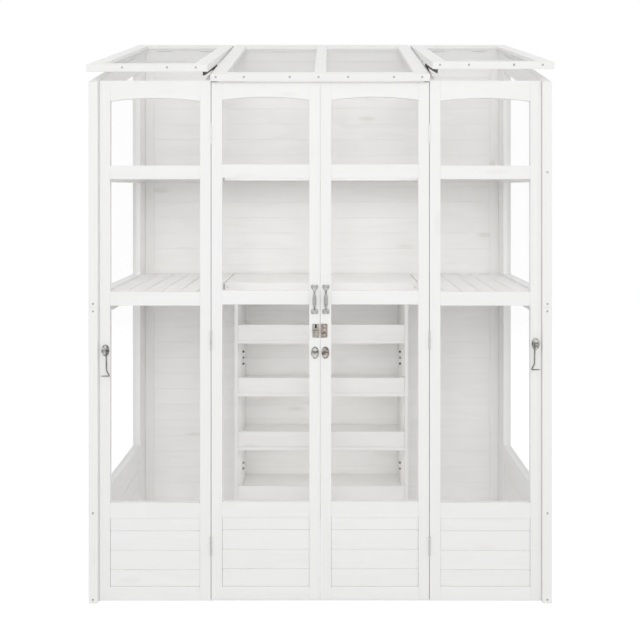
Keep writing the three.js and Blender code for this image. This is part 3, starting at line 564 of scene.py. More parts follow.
def tray_boards(left, right, front, rear, top, slats_across, side_lift=0):
    """Rails round a shelf, and its slats."""
    bottom, rail_top = top - SHELF_RAIL_HEIGHT, top - SLAT_THICKNESS
    boards = [
        plank((left, front, bottom), (right, front + SHELF_RAIL, top), "X"),
        plank((left + SHELF_RAIL, rear - SHELF_RAIL, bottom), (right - SHELF_RAIL, rear, rail_top), "X"),
        plank((left, front + SHELF_RAIL, bottom + side_lift), (left + SHELF_RAIL, rear, rail_top), "Y"),
        plank((right - SHELF_RAIL, front + SHELF_RAIL, bottom + side_lift), (right, rear, rail_top), "Y"),
    ]
    slat_front = front + SHELF_RAIL
    start, end = (slat_front, rear) if slats_across else (left, right)
    count = round((end - start) / SLAT_PITCH)
    pitch = (end - start + SLAT_GAP) / count
    for i in range(count):
        low = start + i * pitch
        high = low + pitch - SLAT_GAP
        corners = (((left, low, rail_top), (right, high, top)) if slats_across
                   else ((low, slat_front, rail_top), (high, rear, top)))
        boards.append(plank(*corners, "X" if slats_across else "Y"))
    return boards


def side_shelf_boards(side, level):
    """Side shelf, and the cleat that the fold-up shelf rests on."""
    sign = SIDES[side]
    low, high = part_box(f"{side}_{level}_shelf")
    fold = "mid_fold_shelf" if level == "mid" else "upper_fold_shelf"
    fold_low, fold_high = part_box(fold)
    inner = fold_high.x + SHELF_SIDE_GAP
    outer = max(abs(low.x), abs(high.x))
    top = high.z
    left, right = sorted((sign * inner, sign * outer))
    boards = tray_boards(left, right, low.y, high.y, top, False)
    under = top - SHELF_RAIL_HEIGHT
    cleat = sorted((sign * (fold_high.x - CLEAT_REACH), sign * (inner + CLEAT_REACH)))
    rear = joint_place(FOLD_HINGES[fold]).y - CLEAT_REAR_GAP
    boards.append(plank((cleat[0], fold_low.y + SHELF_RAIL + CLEAT_FRONT_GAP, under),
                        (cleat[1], rear, under + CLEAT_HEIGHT), "Y"))
    return boards


def fold_shelf_boards(node):
    """Fold-up shelf, whose side rails end just above their cleats."""
    low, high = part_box(node)
    return tray_boards(low.x, high.x, low.y, joint_place(FOLD_HINGES[node]).y,
                       low.z + SHELF_RAIL_HEIGHT, True, CLEAT_HEIGHT + CLEAT_GAP)


def rack_shelf_boards(node):
    """Board of the rack, and the lip that stands on it just behind its front edge."""
    low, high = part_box(node)
    board_top = low.z + RACK_BOARD
    lip_front = low.y + RACK_LIP_SETBACK
    return [
        plank(low, (high.x, high.y, board_top), "X"),
        plank((low.x, lip_front, board_top), (high.x, lip_front + RACK_LIP, high.z), "X"),
    ]


def rack_pegs(side, levels):
    """Pegs pushed into the holes of an upright from inside, with their wider heads."""
    low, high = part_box(f"rack_{side}_upright")
    sign, y = SIDES[side], low.y + PEG_SETBACK
    inner = min(low.x, high.x, key=abs)
    root, tip = inner + sign * PEG_DEPTH, inner - sign * PEG_REACH
    pegs = []
    for level in levels:
        pegs.append(knuckle((root, y, level), (inner, y, level), PEG))
        pegs.append(knuckle((inner, y, level), (tip, y, level), PEG_HEAD))
    return pegs


# Fittings

def facing(point, direction):
    """Matrix that stands a shape made facing -Y at a point, facing another way."""
    turn = Vector((0, -1, 0)).rotation_difference(Vector(direction).normalized())
    return Matrix.Translation(point) @ turn.to_matrix().to_4x4()


def screw(point, direction=(0, -1, 0), radius=SCREW):
    """Countersunk screw head with a cross recess, set into the surface behind it."""
    shape = patina_and_shade(bmesh.new(), 0)
    bmesh.ops.create_grid(shape, x_segments=SCREW_CELLS, y_segments=SCREW_CELLS, size=1,
                          matrix=Matrix.Rotation(math.radians(90), 4, "X"))
    rim = [e for e in shape.edges if e.is_boundary]
    half_cell = 1 / SCREW_CELLS
    cross = []
    for face in shape.faces:
        near, far = sorted(abs(part) for part in face.calc_center_median().xz)
        if near < half_cell and far < 3 * half_cell:
            cross.append(face)
    sunk = new_parts(bmesh.ops.extrude_face_region(shape, geom=cross), BMVert)
    bmesh.ops.delete(shape, geom=cross, context="FACES")
    skirt = bmesh.ops.extrude_edge_only(shape, edges=rim)
    bmesh.ops.edgeloop_fill(shape, edges=new_parts(skirt, BMEdge))
    depths = dict.fromkeys(sunk, SCREW_RECESS) | dict.fromkeys(new_parts(skirt, BMVert), SCREW_SEAT)
    # Brings the square grid to a disc, and each part of it to its depth
    for vert in shape.verts:
        x, z = vert.co.x, vert.co.z
        round_x, round_z = x * math.sqrt(1 - z * z / 2), z * math.sqrt(1 - x * x / 2)
        vert.co = Vector((round_x * radius, depths.get(vert, -SCREW_RISE), round_z * radius))
    bmesh.ops.recalc_face_normals(shape, faces=shape.faces[:])
    # The cross recess and the ring between the head and the surface are painted dark: painted shade
    patina_and_shade(shape, 1, depths)
    return moved(shape, facing(point, direction))


def disc(width, height, thickness, edge=PLATE_EDGE):
    """Oval plate with a rounded rim, its back on the XZ plane and its face towards -Y."""
    shape = bmesh.new()
    bmesh.ops.create_circle(shape, cap_ends=True, segments=2 * ROUND_STEPS, radius=0.5,
                            matrix=Matrix.Rotation(math.radians(90), 4, "X"))
    bmesh.ops.scale(shape, vec=(width, 1, height), verts=shape.verts[:])
    return raised(shape, thickness, edge)


def raised(shape, thickness, edge=PLATE_EDGE):
    """Gives a flat outline on the XZ plane its thickness, a rounded rim and a dished face."""
    verts = new_parts(bmesh.ops.extrude_face_region(shape, geom=shape.faces[:]), BMVert)
    bmesh.ops.translate(shape, vec=(0, -thickness, 0), verts=verts)
    bmesh.ops.recalc_face_normals(shape, faces=shape.faces[:])
    rim = [e for e in shape.edges if all(v in verts for v in e.verts)]
    bmesh.ops.bevel(shape, geom=rim, offset=edge, segments=3, profile=0.5, affect="EDGES",
                    material=-1, clamp_overlap=True)
    # Painted shade: the whole plate with its rim is marked dark, and then the dish inside the rim is kept
    # bright
    patina_and_shade(shape, RIM_PAINTED_SHADE)
    # The faces of the rim have four corners, and the one inside them has more
    face = [f for f in shape.faces if f.normal.y < -0.9 and len(f.verts) > 4]
    bmesh.ops.inset_region(shape, faces=face, thickness=PLATE_RIM, depth=-PLATE_DISH, use_even_offset=True)
    patina_and_shade(shape, DISH_PATINA, [v for f in face if f.is_valid for v in f.verts])
    return shape


def rounded_path(corners, radius, steps=6):
    """Points along straight runs whose corners are rounded."""
    corners = [Vector(c) for c in corners]
    path = [corners[0]]
    for before, corner, after in zip(corners, corners[1:], corners[2:]):
        reach = min(radius, (before - corner).length / 2, (after - corner).length / 2)
        start = corner + (before - corner).normalized() * reach
        end = corner + (after - corner).normalized() * reach
        path += interpolate_bezier(start, (start + 2 * corner) / 3, (end + 2 * corner) / 3, end, steps)
    path.append(corners[-1])
    return path


def wire(path, radius, sides=WIRE_SIDES, end=1.0):
    """Round wire along a path, with closed ends; its last stretch tapers to a share."""
    shape = bmesh.new()
    runs = [(b - a).normalized() for a, b in zip(path, path[1:])]
    heading = [runs[0]] + [(a + b).normalized() for a, b in zip(runs, runs[1:])] + [runs[-1]]
    turn = Vector((0, 0, 1)).rotation_difference(heading[0]).to_matrix().to_4x4()
    bmesh.ops.create_circle(shape, cap_ends=True, segments=sides, radius=radius,
                            matrix=Matrix.Translation(path[0]) @ turn)
    ring = shape.edges[:]
    last = len(path) - 1
    for i, (here, there) in enumerate(zip(path, path[1:])):
        made = bmesh.ops.extrude_edge_only(shape, edges=ring)
        verts, ring = new_parts(made, BMVert), new_parts(made, BMEdge)
        bend = heading[i].rotation_difference(heading[i + 1]).to_matrix()
        bmesh.ops.rotate(shape, cent=here, matrix=bend, verts=verts)
        bmesh.ops.translate(shape, vec=there - here, verts=verts)
        if i + 1 == last:
            for vert in verts:
                vert.co = there + (vert.co - there) * end
    bmesh.ops.edgeloop_fill(shape, edges=ring)
    bmesh.ops.recalc_face_normals(shape, faces=shape.faces[:])
    return shape


def turned(outline, steps=ROUND_STEPS):
    """Solid of revolution about Z from an outline of radius and height."""
    shape = bmesh.new()
    verts = [shape.verts.new((r, 0, z)) for r, z in outline]
    edges = [shape.edges.new(pair) for pair in zip(verts, verts[1:])]
    bmesh.ops.spin(shape, geom=verts + edges, cent=(0, 0, 0), axis=(0, 0, 1),
                   angle=math.tau, steps=steps, use_merge=True)
    bmesh.ops.remove_doubles(shape, verts=shape.verts[:], dist=1e-6)
    bmesh.ops.recalc_face_normals(shape, faces=shape.faces[:])
    return shape


def flourish(width, height, neck, shares):
    """Lobed leaf outline on the XZ plane, from its neck at the origin upwards."""
    half = width / 2
    waist, cheek, crown = [[(-half * x, height * z) for x, z in stretch] for stretch in shares]
    stretches = [
        ((-neck, 0), (-neck, waist[0][1]), *waist),
        (waist[-1], *cheek),
        (cheek[-1], *crown),
    ]
    mirrored = [tuple((-x, z) for x, z in reversed(stretch)) for stretch in reversed(stretches)]
    shape = bmesh.new()
    verts = []
    for stretch in stretches + mirrored:
        points = interpolate_bezier(*[Vector((x, 0, z)) for x, z in stretch], BEZIER_STEPS)
        verts += [shape.verts.new(point) for point in points[:-1]]
    verts.append(shape.verts.new((neck, 0, 0)))
    shape.faces.new(verts)
    bmesh.ops.recalc_face_normals(shape, faces=shape.faces[:])
    return shape


def curls(width, height, thickness):
    """Two scrolls of raised wire on a lobed leaf, which taper inwards."""
    made = []
    for sign in (-1, 1):
        centre = Vector((sign * width * CURL_ACROSS, PLATE_DISH - thickness, height * CURL_UP))
        path = []
        for i in range(CURL_STEPS + 1):
            turn = i / CURL_STEPS * math.tau * CURL_TURNS
            reach = width * (CURL_REACH - CURL_SHRINK * i / CURL_STEPS)
            path.append(centre + Vector((-sign * math.cos(turn) * reach, 0, -math.sin(turn) * reach)))
        # Each scroll is painted dark: painted shade
        made.append(patina_and_shade(wire(path, width * CURL_WIRE, CURL_SIDES, CURL_TAPER), RIM_PAINTED_SHADE))
    return made


def reeded_grip(half):
    """Swelling grip of a pull, with shallow reeds that fade towards its ends."""
    grip = turned([(r * PULL_GRIP_RADIUS, z * half) for r, z in GRIP_SHARES], 4 * GRIP_REEDS)
    for vert in grip.verts:
        angle = math.atan2(vert.co.y, vert.co.x)
        dip = 1 - REED_SHARE * (0.5 - 0.5 * math.cos(GRIP_REEDS * angle)) * (1 - abs(vert.co.z) / half)
        vert.co.x *= dip
        vert.co.y *= dip
    return patina_and_shade(grip, GRIP_PATINA)


def pull_shapes(side):
    """Door pull: a curled leaf at each end, and a grip between them on two bowed necks."""
    low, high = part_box(f"{side}_pull")
    x, face, width = (low.x + high.x) / 2, high.y, high.x - low.x
    front, grip_y = face - PULL_PLATE, low.y + PULL_GRIP_RADIUS
    top_neck, bottom_neck = high.z - PULL_TOP_PLATE, low.z + PULL_BOTTOM_PLATE
    grip_low, grip_high = low.z + PULL_GRIP_BOTTOM, low.z + PULL_GRIP_TOP
    shapes = []
    for up, neck, height, shares, grip_end in (
            (1, top_neck, PULL_TOP_PLATE, TOP_LEAF_SHARES, grip_high),
            (-1, bottom_neck, PULL_BOTTOM_PLATE, BOTTOM_LEAF_SHARES, grip_low)):
        place = Matrix.Translation((x, face, neck)) @ Matrix.Scale(up, 4, (0, 0, 1))
        leaf = raised(flourish(width, height, PULL_NECK_RADIUS, shares), PULL_PLATE)
        for shape in [leaf] + curls(width, height, PULL_PLATE):
            moved(shape, place)
            bmesh.ops.recalc_face_normals(shape, faces=shape.faces[:])
            shapes.append(shape)
        lift = up * PULL_NECK_RADIUS
        bow = [(x, front + PLATE_DISH, neck + 2 * lift), (x, front - PULL_NECK_RADIUS, neck),
               (x, grip_y, neck - lift), (x, grip_y, grip_end)]
        shapes.append(patina_and_shade(wire(rounded_path(bow, PULL_BEND), PULL_NECK_RADIUS), GRIP_PATINA))
    half = (grip_high - grip_low) / 2
    shapes.append(moved(reeded_grip(half), Matrix.Translation((x, grip_y, grip_low + half))))
    shapes.append(screw((x, front + PLATE_DISH, top_neck + PULL_TOP_PLATE / 2), radius=PULL_SCREW))
    return shapes


def plate_place(node):
    """Middle of the rear face of a fitting that lies on the front."""
    low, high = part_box(node)
    return (low.x + high.x) / 2, high.y, (low.z + high.z) / 2


def staple_plate_shapes(node, height, span, radius, patina):
    """Oval plate that holds a square staple."""
    x, face, z = plate_place(node)
    plate = moved(disc(EYE_WIDTH, height, EYE_PLATE), Matrix.Translation((x, face, z)))
    root = face - EYE_PLATE + PLATE_DISH
    bar = face - EYE_PLATE - EYE_BAR_REACH
    left, right = x - span / 2, x + span / 2
    path = rounded_path([(left, root, z), (left, bar, z), (right, bar, z), (right, root, z)],
                        radius * STAPLE_BEND)
    return [plate, patina_and_shade(wire(path, radius), patina)]


def rosette_screws(node):
    """The two screws above and below the staple of an oval plate."""
    x, face, z = plate_place(node)
    return [screw((x, face - EYE_PLATE + PLATE_DISH, z + lift), radius=ROSETTE_SCREW)
            for lift in (EYE_SCREW_LIFT, -EYE_SCREW_LIFT)]


def hook_shapes(side):
    """Cabin hook: a round eye on the staple's bar, a shank, a kink and a sharp tip."""
    sign = SIDES[side]
    bar = joint_place(f"{side}_hook_swing")
    eye = bmesh.new()
    bmesh.ops.create_circle(eye, segments=WIRE_SIDES, radius=HOOK_WIRE,
                            matrix=Matrix.Translation((0, HOOK_EYE, 0)))
    bmesh.ops.spin(eye, geom=eye.verts[:] + eye.edges[:], cent=(0, 0, 0), axis=(1, 0, 0),
                   angle=math.tau, steps=ROUND_STEPS, use_merge=True)
    bmesh.ops.recalc_face_normals(eye, faces=eye.faces[:])
    bend = -HOOK_EYE - HOOK_SHANK
    foot = bend - HOOK_KINK_DROP
    corners = [(0, 0, -HOOK_EYE), (-sign * HOOK_WIRE / 2, 0, bend), (-sign * HOOK_KINK_REACH, 0, foot),
               (sign * (HOOK_TIP - HOOK_KINK_REACH), 0, foot)]
    shank = wire(rounded_path(corners, 2 * HOOK_WIRE), HOOK_WIRE, end=HOOK_TIP_TAPER)
    return [moved(patina_and_shade(shape, WIRE_PATINA), Matrix.Translation(bar)) for shape in (eye, shank)]


def hinge_leaf(low, high, metal=LEAF_METAL):
    """Flat leaf of a hinge with fine edges."""
    return eased(box(low, high), metal / 4)


def door_hinge_shapes(side, number):
    """Door half of a hinge: a leaf on the door's edge and a bored knuckle."""
    low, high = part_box(f"{side}_hinge_{number}")
    axis = joint_place(f"{side}_door_hinge")
    third = (high.z - low.z) / 3
    bottom, top = low.z + third + CLEAT_GAP, high.z - third - CLEAT_GAP
    left, right = leaf_sides(side, "door")
    edge = left if side == "left" else right
    leaf = hinge_leaf((edge, axis.y, bottom),
                      (edge + SIDES[side] * HINGE_LEAF, axis.y + HINGE_LEAF_DEPTH, top), HINGE_LEAF)
    half = (top - bottom) / 2
    knuckle = turned([(HINGE_BORE, -half), (HINGE_KNUCKLE, -half), (HINGE_KNUCKLE, half),
                      (HINGE_BORE, half), (HINGE_BORE, -half)])
    return [leaf, moved(knuckle, Matrix.Translation((axis.x, axis.y, (top + bottom) / 2)))]


def knuckle(start, end, radius=LID_KNUCKLE):
    """Short round barrel along X."""
    start, end = Vector(start), Vector(end)
    shape = bmesh.new()
    place = Matrix.Translation((start + end) / 2) @ Matrix.Rotation(math.radians(90), 4, "Y")
    bmesh.ops.create_cone(shape, cap_ends=True, segments=ROUND_STEPS, radius1=radius, radius2=radius,
                          depth=(end - start).length, matrix=place)
    return eased(shape, radius / 10, 1, 60)


def strap_hinge_shapes(x, fixed_leaf, moving_leaf, axis):
    """Both halves of a small hinge that starts at x: two outer barrels, and the middle one."""
    third, gap = LID_HINGE_LENGTH / 3, CLEAT_GAP / 2
    first, middle, last = [knuckle((x + i * third + gap, axis.y, axis.z),
                                   (x + (i + 1) * third - gap, axis.y, axis.z)) for i in range(3)]
    return [first, last, fixed_leaf], [middle, moving_leaf]


def lid_hinges(side):
    """Hinges along the rear of a lid: one leaf on the back wall, one under the overhang."""
    low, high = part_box(f"{side}_lid_frame")
    axis = joint_place(f"{side}_lid_hinge")
    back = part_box("back_frame")[1].y
    face = back + LEAF_METAL
    fixed, moving = [], []
    for x in (low.x + LID_HINGE_INSET, high.x - LID_HINGE_INSET - LID_HINGE_LENGTH):
        end = x + LID_HINGE_LENGTH
        wall_leaf = hinge_leaf((x, back, axis.z - LID_HINGE_LEAF), (end, face, axis.z))
        lid_leaf = hinge_leaf((x, 0, ROOF_UNDERSIDE - LEAF_METAL), (end, LID_LEAF_DEPTH, ROOF_UNDERSIDE))
        bridge = box((x, back, axis.z - LID_KNUCKLE),
                     (x + LID_HINGE_LENGTH / 3, axis.y, axis.z - LID_KNUCKLE / 2))
        wall_half, lid_half = strap_hinge_shapes(x, wall_leaf, moved(lid_leaf, roof_place(f"{side}_lid")),
                                                 axis)
        fixed += wall_half + [bridge]
        moving += lid_half
        level = axis.z - LID_HINGE_LEAF * WALL_LEAF_SCREW_SHARE
        fixed += [screw((x + LID_HINGE_LENGTH * share, face, level), (0, 1, 0), SMALL_SCREW)
                  for share in HINGE_SCREW_SHARES]
    return fixed, moving


def fold_shelf_hinges(shelf):
    """Hinges of a fold-up shelf: leaves on its top and on pads against the back boards."""
    low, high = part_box(shelf)
    axis = joint_place(FOLD_HINGES[shelf])
    top = low.z + SHELF_RAIL_HEIGHT
    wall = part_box("back_frame")[0].y
    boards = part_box("back_boards")[0].y
    fixed, moving, pads = [], [], []
    for middle in (low.x + FOLD_HINGE_INSET, high.x - FOLD_HINGE_INSET):
        x, end = middle - LID_HINGE_LENGTH / 2, middle + LID_HINGE_LENGTH / 2
        wall_leaf = hinge_leaf((x, wall - LEAF_METAL, axis.z - LID_HINGE_LEAF), (end, wall, axis.z))
        shelf_leaf = hinge_leaf((x, axis.y - SHELF_RAIL, top), (end, axis.y, top + LEAF_METAL))
        wall_half, shelf_half = strap_hinge_shapes(x, wall_leaf, shelf_leaf, axis)
        fixed += wall_half
        moving += shelf_half
        level = axis.z - LID_HINGE_LEAF * WALL_LEAF_SCREW_SHARE
        for across in [x + LID_HINGE_LENGTH * share for share in HINGE_SCREW_SHARES]:
            fixed.append(screw((across, wall - LEAF_METAL, level), radius=SMALL_SCREW))
            moving.append(screw((across, axis.y - SHELF_RAIL * SHELF_LEAF_SCREW_SHARE, top + LEAF_METAL),
                                (0, 0, 1), SMALL_SCREW))
        pads.append(plank((x - PAD_MARGIN, wall, axis.z - LID_HINGE_LEAF - PAD_MARGIN),
                          (end + PAD_MARGIN, boards, axis.z), "X"))
    return fixed, moving, pads


def lip_screws(shelf):
    """Small screws through the front rail of a fold-up shelf, near its ends."""
    low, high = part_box(shelf)
    level = low.z + SHELF_RAIL_HEIGHT / 2
    return [screw((x, low.y, level), radius=SMALL_SCREW)
            for x in (low.x + LIP_SCREW_INSET, high.x - LIP_SCREW_INSET)]


def stay_foot_shapes(side):
    """Foot of a folding stay: a plate screwed to the rafter round the lower pivot."""
    sign = SIDES[side]
    pivot = joint_place(f"{side}_stay_foot")
    rafter_low, rafter_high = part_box(f"{side}_rafter")
    seat = sign * max(abs(rafter_low.x), abs(rafter_high.x))
    turn = Matrix.Rotation(math.radians(90) * sign, 4, "Z")
    plate = moved(disc(STAY_FOOT_LENGTH, STAY_FOOT_HEIGHT, STAY_FOOT),
                  Matrix.Translation((seat, pivot.y, pivot.z)) @ turn)
    face = seat + sign * STAY_FOOT
    screws = [screw((face, pivot.y + reach, pivot.z), (sign, 0, 0), SMALL_SCREW)
              for reach in (-STAY_FOOT_SCREW, STAY_FOOT_SCREW)]
    return [plate] + screws


def stay_bracket_shapes(side):
    """Bracket under a lid that its stay is riveted to."""
    sign = SIDES[side]
    inner, outer = sign * STAY_EAR_INNER, sign * STAY_EAR_OUTER
    flange = outer + sign * STAY_EAR_FLANGE
    front, rear = STAY_EAR_PLACE - STAY_EAR_HALF, STAY_EAR_PLACE + STAY_EAR_HALF
    under = ROOF_UNDERSIDE - STAY_FOOT
    tab = eased(box((inner, front, STAY_EAR_LOW), (outer, rear, ROOF_UNDERSIDE)), STAY_EAR_EASE, 3)
    foot = eased(box((inner, front, under), (flange, rear, ROOF_UNDERSIDE)), STAY_FOOT / 4)
    rivet = knuckle((sign * STAY_RIVET_START, STAY_EAR_PLACE, STAY_RIVET_LEVEL),
                    (outer + sign * STAY_FOOT, STAY_EAR_PLACE, STAY_RIVET_LEVEL), STAY_RIVET)
    screws = [screw(((outer + flange) / 2, STAY_EAR_PLACE + reach, under), (0, 0, -1), SMALL_SCREW)
              for reach in (-STAY_EAR_HALF / 2, STAY_EAR_HALF / 2)]
    return [moved(shape, roof_place(f"{side}_lid")) for shape in [tab, foot, rivet] + screws]


def latch_casting(node, corner_side):
    """Latch plate or keeper, with round corners on one side."""
    shape = merged_copy(node)
    low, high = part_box(node)
    outer = low.x if corner_side < 0 else high.x

    def at_corner(vert):
        at_end = min(abs(vert.co.z - low.z), abs(vert.co.z - high.z)) < LATCH_NEAR
        return at_end and abs(vert.co.x - outer) < LATCH_NEAR

    corners = [e for e in shape.edges if all(at_corner(v) for v in e.verts)
               and abs(e.verts[0].co.z - e.verts[1].co.z) < LATCH_NEAR]
    bmesh.ops.bevel(shape, geom=corners, offset=LATCH_CORNER, segments=5, profile=0.5, affect="EDGES",
                    material=-1, clamp_overlap=True)
    return patina_and_shade(eased(shape, LATCH_EASE), 0)


def latch_screws():
    """Screws of the latch plate and of its keeper."""
    plate_low, plate_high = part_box("latch_plate")
    keeper_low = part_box("latch_keeper")[0]
    face = plate_high.y - LATCH_PLATE
    inset = 2 * SMALL_SCREW
    plate = [screw((x, face, plate_low.z + inset), radius=SMALL_SCREW)
             for x in (plate_low.x + inset, plate_high.x - inset)]
    keeper = [screw((keeper_low.x + KEEPER_SCREW_REACH, face, keeper_low.z + level), radius=KEEPER_SCREW)
              for level in KEEPER_SCREW_LEVELS]
    return plate, keeper


def key_slot_shadow():
    """Black block where the key slot of the latch plate is: painted shadow of the slot."""
    low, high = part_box("latch_plate")
    middle, top = (low.x + high.x) / 2, high.z - KEY_SLOT_TOP
    half = KEY_SLOT_WIDTH / 2
    return [eased(box((middle - half, high.y - LATCH_PLATE / 2, top - KEY_SLOT_HEIGHT),
                      (middle + half, high.y, top)), EASE / 10)]


def post_screws(side):
    """Screws in the front of a side wall's post."""
    low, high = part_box(f"{side}_side_lower_frame")
    levels = POST_SCREW_LEVELS + ([RIGHT_UPPER_SCREW] if side == "right" else [])
    return [screw(((low.x + high.x) / 2, low.y, level)) for level in levels]


def roof_screws(panel):
    """Screws along the front rail of a roof panel."""
    middle = ROOF_UNDERSIDE + ROOF_THICKNESS / 2 + ROOF_SCREW_LIFT
    return [moved(screw((x, ROOF_FRONT, middle)), roof_place(panel)) for x in ROOF_SCREWS[panel]]


# Materials

def node(tree, kind, inputs=None, **settings):
    """Adds a shader node; inputs are values, or sockets to link."""
    made = tree.nodes.new("ShaderNode" + kind)
    for name, value in settings.items():
        setattr(made, name, value)
    for name, value in (inputs or {}).items():
        socket = made.inputs[name]
        if isinstance(value, bpy.types.NodeSocket):
            tree.links.new(value, socket)
        else:
            socket.default_value = value
    return made


def mapped(tree, value, low, high, to_low=0.0, to_high=1.0):
    """A value brought from one range to another, and kept inside it."""
    made = node(tree, "MapRange", {"Value": value, "From Min": low, "From Max": high,
                                   "To Min": to_low, "To Max": to_high})
    return made.outputs["Result"]


def calculated(tree, operation, first, second=0.0):
    """One step of arithmetic on values or sockets."""
    return node(tree, "Math", {0: first, 1: second}, operation=operation).outputs[0]


def tinted(tree, share, first, second):
    """The first colour with a share of the second laid over it."""
    return node(tree, "Mix", {0: share, 6: first, 7: second}, data_type="RGBA").outputs[2]


def stretched(tree, vector, scale, turn=(0, 0, 0)):
    """Coordinates scaled along each axis, so that a pattern runs one way."""
    return node(tree, "Mapping", {"Vector": vector, "Rotation": turn, "Scale": scale}).outputs[0]


def noise(tree, vector, scale, detail, roughness=0.5, output="Fac"):
    """Soft noise over coordinates."""
    made = node(tree, "TexNoise", {"Vector": vector, "Scale": scale, "Detail": detail,
                                   "Roughness": roughness})
    return made.outputs[output]


def embossed(tree, shader, relief, strength, depth):
    """Gives a material a fine relief from a mask."""
    bump = node(tree, "Bump", {"Strength": strength, "Distance": depth, "Height": relief})
    tree.links.new(bump.outputs["Normal"], shader.inputs["Normal"])


def new_group(name, inputs, outputs):
    """Node group with its sockets; an input comes with a default value, or None."""
    tree = bpy.data.node_groups.new(name, "ShaderNodeTree")
    for socket, kind, value in inputs:
        made = tree.interface.new_socket(socket, in_out="INPUT", socket_type=kind)
        if value is not None:
            made.default_value = value
    for socket, kind in outputs:
        tree.interface.new_socket(socket, in_out="OUTPUT", socket_type=kind)
    return tree, tree.nodes.new("NodeGroupInput").outputs, tree.nodes.new("NodeGroupOutput").inputs


def pine_grain_group():
    """Fibres, growth rings and knots of a softwood board, along the first axis of Vector."""
    tree, given, out = new_group(
        "pine grain", [("Vector", "NodeSocketVector", None), ("Knots", "NodeSocketFloat", 0.5)],
        [("Fibres", "NodeSocketFloat"), ("Rings", "NodeSocketFloat"), ("Knots", "NodeSocketFloat")])
    place = given["Vector"]
    fibres = noise(tree, stretched(tree, place, FIBRE_STRETCH), 1, 4, 0.65)
    tree.links.new(fibres, out["Fibres"])

    sway = noise(tree, stretched(tree, place, SWAY_STRETCH), 1, 2, output="Color")
    swayed = node(tree, "VectorMath", {0: stretched(tree, place, RING_STRETCH), 1: sway}, operation="ADD")
    rings = node(tree, "TexWave", {"Vector": swayed.outputs[0], "Scale": 1.6, "Distortion": 3.2,
                                   "Detail": 2.0, "Detail Scale": 0.8},
                 wave_type="BANDS", bands_direction="Y", wave_profile="SAW")
    tree.links.new(mapped(tree, rings.outputs["Fac"], 0.35, 1.0), out["Rings"])

    spots = node(tree, "TexVoronoi", {"Vector": stretched(tree, place, KNOT_STRETCH), "Scale": 1.0})
    ragged = calculated(tree, "ADD", spots.outputs["Distance"],
                        mapped(tree, noise(tree, place, 160, 2), 0, 1, -KNOT_RAGGED, KNOT_RAGGED))
    knots = mapped(tree, ragged, KNOT_RIM, KNOT_HEART)
    tree.links.new(calculated(tree, "MULTIPLY", knots, given["Knots"]), out["Knots"])


def wear_group():
    """Soft dirt and handling marks over a surface, from Object coordinates."""
    tree, given, out = new_group(
        "soft wear", [("Vector", "NodeSocketVector", None), ("Scale", "NodeSocketFloat", 4.0)],
        [("Mask", "NodeSocketFloat")])
    broad = noise(tree, given["Vector"], given["Scale"], 3)
    fine = noise(tree, given["Vector"], 90, 2)
    both = calculated(tree, "MULTIPLY", mapped(tree, broad, 0.4, 0.75), mapped(tree, fine, 0.3, 0.8, 0.5, 1))
    tree.links.new(both, out["Mask"])


def new_material(name):
    """Material, its node tree and its Principled shader."""
    made = bpy.data.materials.new(name)
    made.use_nodes = True
    tree = made.node_tree
    return made, tree, tree.nodes["Principled BSDF"]


def painted_wood(name, paint, shade, knot, opacity, roughness):
    """White paint or stain over pine; opacity says how much of the wood it hides."""
    made, tree, shader = new_material(name)
    tone = node(tree, "Attribute", attribute_name="tone").outputs["Fac"]
    grain = node(tree, "Attribute", attribute_name="grain").outputs["Vector"]
    place = node(tree, "TexCoord").outputs["Object"]
    figure = node(tree, "Group", {"Vector": grain}, node_tree=bpy.data.node_groups["pine grain"]).outputs
    wear = node(tree, "Group", {"Vector": place}, node_tree=bpy.data.node_groups["soft wear"]).outputs
    bare = 1 - opacity
    colour = paint
    # What shows through: a mask, the range of it that counts, how strongly it tints, and the tint
    for mask, low, high, share, tint in (
            (tone, 0, 1, 0.35, shade),
            (figure["Fibres"], 0.35, 0.75, 0.5, shade),
            (figure["Rings"], 0, 1, 0.55, shade),
            (figure["Knots"], 0, 1, 1.1, knot),
            (wear["Mask"], 0, 1, 0.25, shade)):
        colour = tinted(tree, mapped(tree, mask, low, high, 0, share * bare), colour, tint)
    tree.links.new(colour, shader.inputs["Base Color"])
    tree.links.new(mapped(tree, figure["Fibres"], 0.3, 0.8, roughness - 0.06, roughness + 0.1),
                   shader.inputs["Roughness"])
    relief = calculated(tree, "ADD", figure["Fibres"], calculated(tree, "MULTIPLY", figure["Rings"], 0.6))
    embossed(tree, shader, relief, 0.35, 0.0006)
    return made


def metal(name, bright, dull, roughness, patina):
    """Plated metal with a duller patina in soft patches, darker where the shape marks patina and painted
    shade, and scratches.
    """
    made, tree, shader = new_material(name)
    place = node(tree, "TexCoord").outputs["Object"]
    patina_and_shade_marks = node(tree, "Attribute", attribute_name="patina").outputs["Fac"]
    patches = mapped(tree, noise(tree, place, 120, 5, 0.6), 0.62 - patina / 2, 0.78 - patina / 2)
    mask = node(tree, "Math", {0: patches, 1: patina_and_shade_marks}, operation="ADD", use_clamp=True).outputs[0]
    tree.links.new(tinted(tree, mask, bright, dull), shader.inputs["Base Color"])
    scratch = noise(tree, stretched(tree, place, SCRATCH_STRETCH, SCRATCH_TURN), 1, 3)
    rough = calculated(tree, "ADD", mapped(tree, mask, 0, 1, roughness, roughness + 0.2),
                       mapped(tree, scratch, 0.3, 0.8, -0.04, 0.1))
    tree.links.new(rough, shader.inputs["Roughness"])
    shader.inputs["Metallic"].default_value = 1.0
    embossed(tree, shader, scratch, 0.15, 0.0002)
    return made


